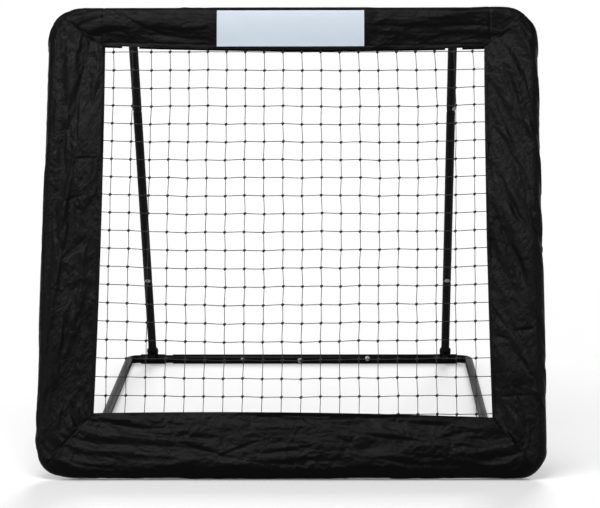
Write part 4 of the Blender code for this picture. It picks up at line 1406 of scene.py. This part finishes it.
def make_loops():
    """Elastic loops, each round the frame tube and round the rope."""
    net_half = ROPE_HALF - LOOP_INSET
    big = FRAME_TUBE_R + LOOP_CORD_R + LOOP_CLEAR
    small = LOOP_ROUND_ROPE + LOOP_CORD_R + LOOP_CLEAR
    tangent = math.acos((big - small) / (TUBE_HALF - net_half))
    far = math.pi - tangent
    # Round the tube from the back to the front, then round the rope
    arcs = [(TUBE_HALF, big, far * (1 - 2 * i / TUBE_STEPS)) for i in range(TUBE_STEPS + 1)]
    arcs += [(net_half, small, -far - 2 * tangent * i / CORD_STEPS) for i in range(CORD_STEPS + 1)]
    for turn, side in enumerate(SIDES):
        for number, cell in enumerate(LOOP_CELLS, 1):
            along = -net_half + (cell + 0.5) * 2 * net_half / NET_CELLS
            points = [
                on_frame(*quarter(turn, along, middle + radius * math.cos(angle)), radius * math.sin(angle))
                for middle, radius, angle in arcs
            ]
            loop = closed_cord(points, LOOP_CORD_R, LOOP_SIDES)
            name = f"elastic_loop_{side}_{number}"
            finish_piece(loop, name, "elastic", "frame", f"lacing_loop_{side}_{number}", smooth=180.0)


# Tubes

WALL = 0.0012
EDGE = 0.0004
TUBE_SIDES = 32
BAR_SIDES = 40
HOLE_SIDES = 24
HOLE_PAST = 0.005
BEND_STEPS = 14
MERGED = 0.00001
# Where a tube stops inside its tee, from the middle of what the tee turns on
SEAT = 0.0155
PLUG_R = 0.0079
PLUG_LENGTH = 0.040
MOUTH = 0.014
NECK = 0.012
# The swage from a plug up to its tube: the place past the mouth, and the radius there
SWAGE = (
    (0.0005, PLUG_R), (0.0030, PLUG_R + 0.0002), (0.0065, (PLUG_R + TUBE_R) / 2), (0.0100, TUBE_R - 0.0002),
)


def straight_tube(start, direction, stations, sides=TUBE_SIDES):
    """A tube through stations of (distance, outer radius, bore), out along it and back inside."""
    profile = [(outer_r, distance) for distance, outer_r, _ in stations]
    profile += [(inner_r, distance) for distance, _, inner_r in reversed(stations)]
    return laid_rings("tube", profile, sides, start, direction, hollow=True)


def make_struts():
    bore, plug_bore = TUBE_R - WALL, PLUG_R - WALL
    for side, sign in HANDS:
        top, foot, down = strut_line(sign)
        mouths = {"middle": UPPER_SCREW + MOUTH, "lower": LOWER_SCREW + MOUTH}
        ends = {"upper": mouths["middle"], "middle": mouths["lower"], "lower": (foot - top).length - SEAT}
        for section, end in ends.items():
            if section == "upper":
                stations = [(SEAT, TUBE_R, bore)]
            else:
                mouth = mouths[section]
                plug_end = mouth - PLUG_LENGTH
                stations = [(plug_end, PLUG_R - EDGE, plug_bore), (plug_end + EDGE, PLUG_R, plug_bore)]
                stations += [(mouth + place, radius, plug_bore) for place, radius in SWAGE]
                stations.append((mouth + NECK, TUBE_R, bore))
            stations += [(end - EDGE, TUBE_R, bore), (end, TUBE_R - EDGE, bore)]
            tube = straight_tube(top, down, stations)
            body = f"{side}_foot" if section == "lower" else f"{side}_strut"
            finish_piece(tube, f"strut_tube_{section}_{side}", "black_paint", body, f"strut_{section}_{side}")


def cut_button_hole(tube):
    """Through the wall on the button's side, from the middle out."""
    profile = [(BUTTON_HOLE_R, 0.0), (BUTTON_HOLE_R, REAR_BAR_R + HOLE_PAST)]
    middle = REAR_MIDDLE + RIGHT * BUTTON_X
    cut(tube, laid_rings("hole", profile, HOLE_SIDES, middle, bar_outward(BUTTON_TURN)))


BAR_CLEAR = 0.00045
# The rear bar's rounded rim: the place from its end, and how far under the full radius
BAR_RIM = ((0.0, 0.0007), (0.0003, 0.0002), (0.0008, 0.0))


def make_rear_bar():
    bore = TUBE_R + BAR_CLEAR
    length = BAR_RIGHT - BAR_LEFT
    stations = [(place, REAR_BAR_R - under, bore) for place, under in BAR_RIM]
    stations += [(length - place, REAR_BAR_R - under, bore) for place, under in reversed(BAR_RIM)]
    bar = straight_tube(REAR_MIDDLE + RIGHT * BAR_LEFT, RIGHT, stations, BAR_SIDES)
    cut_button_hole(bar)
    finish_piece(bar, "rear_cross_bar", "black_paint", "base", "rear_bar")


def make_base_tubes():
    """Each side tube: a ring drawn back along the floor, spun round the bend and on into the bar."""
    for (side, sign), plug_end in zip(HANDS, (LEFT_PLUG_END, RIGHT_PLUG_END)):
        front = Vector((sign * SIDE_TUBE_X, HINGE_Y, HINGE.z))
        rear_corner = Vector((sign * SIDE_TUBE_X, REAR_Y, REAR_HEIGHT))
        along = (rear_corner - front).normalized()
        bend_start = (rear_corner - front).length - BASE_BEND
        circle = bpy.ops.mesh.primitive_circle_add
        obj = add_primitive(circle, vertices=TUBE_SIDES, radius=TUBE_R, rotation=(math.pi / 2, 0.0, 0.0))
        obj.location = (0.0, SEAT, 0.0)
        apply_place()
        edit_all()
        extrude(0.0, bend_start - SEAT, 0.0)
        centre = (-sign * BASE_BEND, bend_start, 0.0)
        bpy.ops.mesh.spin(steps=BEND_STEPS, angle=-sign * math.pi / 2, center=centre, axis=(0.0, 0.0, 1.0))
        inward = SIDE_TUBE_X - BASE_BEND - sign * plug_end
        extrude(-sign * inward, 0.0, 0.0)
        bpy.ops.mesh.select_all(action="SELECT")
        bpy.ops.mesh.remove_doubles(threshold=MERGED)
        end_edit()
        turn = Matrix((RIGHT, along, RIGHT.cross(along))).transposed().to_4x4()
        settle(obj, Matrix.Translation(front) @ turn)
        thicken(obj, WALL)
        if side == "left":
            cut_button_hole(obj)
        finish_piece(obj, f"base_tube_{side}", "black_paint", "base", f"base_corner_{side}")


# Tees

COLLAR_R = 0.0133
COLLAR_REACH = 0.0370
SLEEVE_HALF = 0.0290
# The sleeve's rounded rim: how far in from its end, and how far under its radius
SLEEVE_RIM = ((0.0, 0.0012), (0.0004, 0.0003), (0.0012, 0.0))
COLLAR_FOOT = 0.0012
# The collar with its low ring at the mouth: the same two, from the mouth back
COLLAR_RIM = ((0.0, 0.0010), (0.0010, 0.0), (0.0060, 0.0), (0.0070, 0.0001), (0.0080, 0.0005))
SEAT_DEPTH = 0.0152
SEAT_CLEAR = 0.0005
BORE_CLEAR = 0.0006
CUT_PAST = 0.002
TEE_SIDES = 48
FLOOR_BLOCK = 0.06


def make_tee(name, node, body, centre, direction, bar_r):
    """A moulded tee: the sleeve on the bar, the collar that takes the tube, one rounded whole."""
    sleeve_r = bar_r + SLEEVE_WALL
    rim = [(sleeve_r - under, place - SLEEVE_HALF) for place, under in SLEEVE_RIM]
    rim += [(radius, -place) for radius, place in reversed(rim)]
    sleeve = laid_rings("sleeve", rim, TEE_SIDES, centre, RIGHT)
    rings = [(min(COLLAR_R, sleeve_r) - COLLAR_FOOT, 0.0), (COLLAR_R - COLLAR_RIM[-1][1], SEAT)]
    rings += [(COLLAR_R - under, COLLAR_REACH - place) for place, under in reversed(COLLAR_RIM)]
    cut(sleeve, laid_rings("collar", rings, TEE_SIDES, centre, direction), "UNION")
    if centre.z < sleeve_r:
        under_floor = (centre.x, centre.y, -FLOOR_BLOCK / 2)
        cut(sleeve, add_primitive(bpy.ops.mesh.primitive_cube_add, size=FLOOR_BLOCK, location=under_floor))
    seat_r, bore_r, bore_half = TUBE_R + SEAT_CLEAR, bar_r + BORE_CLEAR, SLEEVE_HALF + CUT_PAST
    seat = [(seat_r, SEAT_DEPTH), (seat_r, COLLAR_REACH + CUT_PAST)]
    cut(sleeve, laid_rings("seat", seat, TEE_SIDES, centre, direction))
    bore = [(bore_r, -bore_half), (bore_r, bore_half)]
    cut(sleeve, laid_rings("bore", bore, TEE_SIDES, centre, RIGHT))
    round_edges(sleeve, width=0.0009, segments=3, degrees=35.0)
    finish_piece(sleeve, name, "tee_plastic", body, node)


def make_tees():
    for side, sign in HANDS:
        top, foot, down = strut_line(sign)
        make_tee(f"top_tee_{side}", f"strut_top_tee_{side}", f"{side}_strut", top, down, FRAME_TUBE_R)
        make_tee(f"foot_tee_{side}", f"strut_foot_tee_{side}", f"{side}_foot", foot, -down, TUBE_R)
        centre = HINGE + RIGHT * sign * SIDE_TUBE_X
        back = Vector((0.0, BASE_DEPTH, REAR_HEIGHT - HINGE.z)).normalized()
        make_tee(f"front_tee_{side}", f"base_front_tee_{side}", "base", centre, back, FRAME_TUBE_R)


# Screws and the snap button

# The screw's rounded head: shares of its radius and of its height
HEAD_ROUND = ((1.0, 0.30), (0.97, 0.46), (0.88, 0.66), (0.72, 0.84), (0.48, 0.96), (0.20, 1.0))
HEAD_EDGE = 0.0004
# Its point: shares of the shank's radius and of the screw's length
SCREW_POINT = ((0.8, 0.8), (1.0, 0.7))
SCREW_SIDES = 32
SCREW_TIP_R = 0.0004
SCREW_GAP = 0.0003
THREAD_END = 0.0002
# The cross recess: shares of the head's radius along and across, and of its height deep
RECESS = (1.05, 0.24, 1.1)
RECESS_HEIGHT = 0.95
# The button's dome, from its edge up, in degrees
DOME_TURNS = (0, 15, 30, 45, 60, 75, 86)


def make_screw(name, node, body, axis_place, outward, tube_r):
    """A pan-head screw with a cross recess."""
    screw = drawn_rings("screw", [
        (SCREW_TIP_R, -SCREW_LENGTH),
        *((SCREW_SHANK_R * wide, -SCREW_LENGTH * far) for wide, far in SCREW_POINT),
        (SCREW_SHANK_R, -THREAD_END), (SCREW_HEAD_R - HEAD_EDGE, 0.0), (SCREW_HEAD_R, HEAD_EDGE),
        *((SCREW_HEAD_R * wide, SCREW_HEAD * high) for wide, high in HEAD_ROUND),
    ], SCREW_SIDES)
    long, wide, deep = RECESS
    for turn in (0.0, math.pi / 2):
        arm = add_primitive(bpy.ops.mesh.primitive_cube_add, size=1.0)
        arm.scale = (SCREW_HEAD_R * long, SCREW_HEAD_R * wide, SCREW_HEAD * deep)
        arm.rotation_euler = (0.0, 0.0, turn)
        arm.location = (0.0, 0.0, SCREW_HEAD * RECESS_HEIGHT)
        apply_place()
        cut(screw, arm)
    settle(screw, laid_along(axis_place + outward * (tube_r + SCREW_GAP), outward))
    round_edges(screw, width=0.00018, segments=2, degrees=40.0)
    finish_piece(screw, name, "zinc", body, node)


def make_screws():
    for side, sign in HANDS:
        top, _, down = strut_line(sign)
        facing = down.cross(RIGHT).normalized()
        if facing.y > 0:
            facing.negate()
        turn = math.pi if side == "left" else UPPER_SCREW_TURN
        outward = facing * math.cos(turn) + RIGHT * math.sin(turn)
        upper, lower = top + down * UPPER_SCREW, top + down * LOWER_SCREW
        upper_node, lower_node = f"strut_upper_screw_{side}", f"strut_lower_screw_{side}"
        make_screw(f"upper_screw_{side}", upper_node, f"{side}_strut", upper, outward, TUBE_R)
        make_screw(f"lower_screw_{side}", lower_node, f"{side}_foot", lower, facing, TUBE_R)
    for place, (x, degrees) in BAR_SCREWS.items():
        spot, outward = REAR_MIDDLE + RIGHT * x, bar_outward(degrees)
        make_screw(f"bar_screw_{place}", f"rear_bar_screw_{place}", "base", spot, outward, REAR_BAR_R)


def make_button():
    """The snap button's head, short enough to clear its spring when it is pressed right in."""
    shoulder = REAR_BAR_R + BUTTON_PROUD - BUTTON_DOME
    rings = [(BUTTON_R, SPRING_TOP + BUTTON_PRESS + SPRING_CLEAR)]
    for degrees in DOME_TURNS:
        angle = math.radians(degrees)
        rings.append((BUTTON_R * math.cos(angle), shoulder + BUTTON_DOME * math.sin(angle)))
    middle = REAR_MIDDLE + RIGHT * BUTTON_X
    button = laid_rings("button", rings, SCREW_SIDES, middle, bar_outward(BUTTON_TURN))
    finish_piece(button, "domed_button", "zinc", "snap_button", "snap_button", smooth=40.0)


def dress_kept_nodes():
    """The tubes and screws inside the cover, and the button's spring, keep their own solids."""
    for node, obj in frame["nodes"].items():
        slot = next(entry["material_slot"] for entry in frame["record"]["subparts"] if entry["node"] == node)
        obj.data.materials.clear()
        obj.data.materials.append(FINISH[slot])


set_camera()
set_world()
set_floor()
set_softboxes()
set_back_light()
dress_kept_nodes()
make_sleeves()
make_label()
make_net()
make_rope()
make_loops()
make_struts()
make_rear_bar()
make_base_tubes()
make_tees()
make_screws()
make_button()
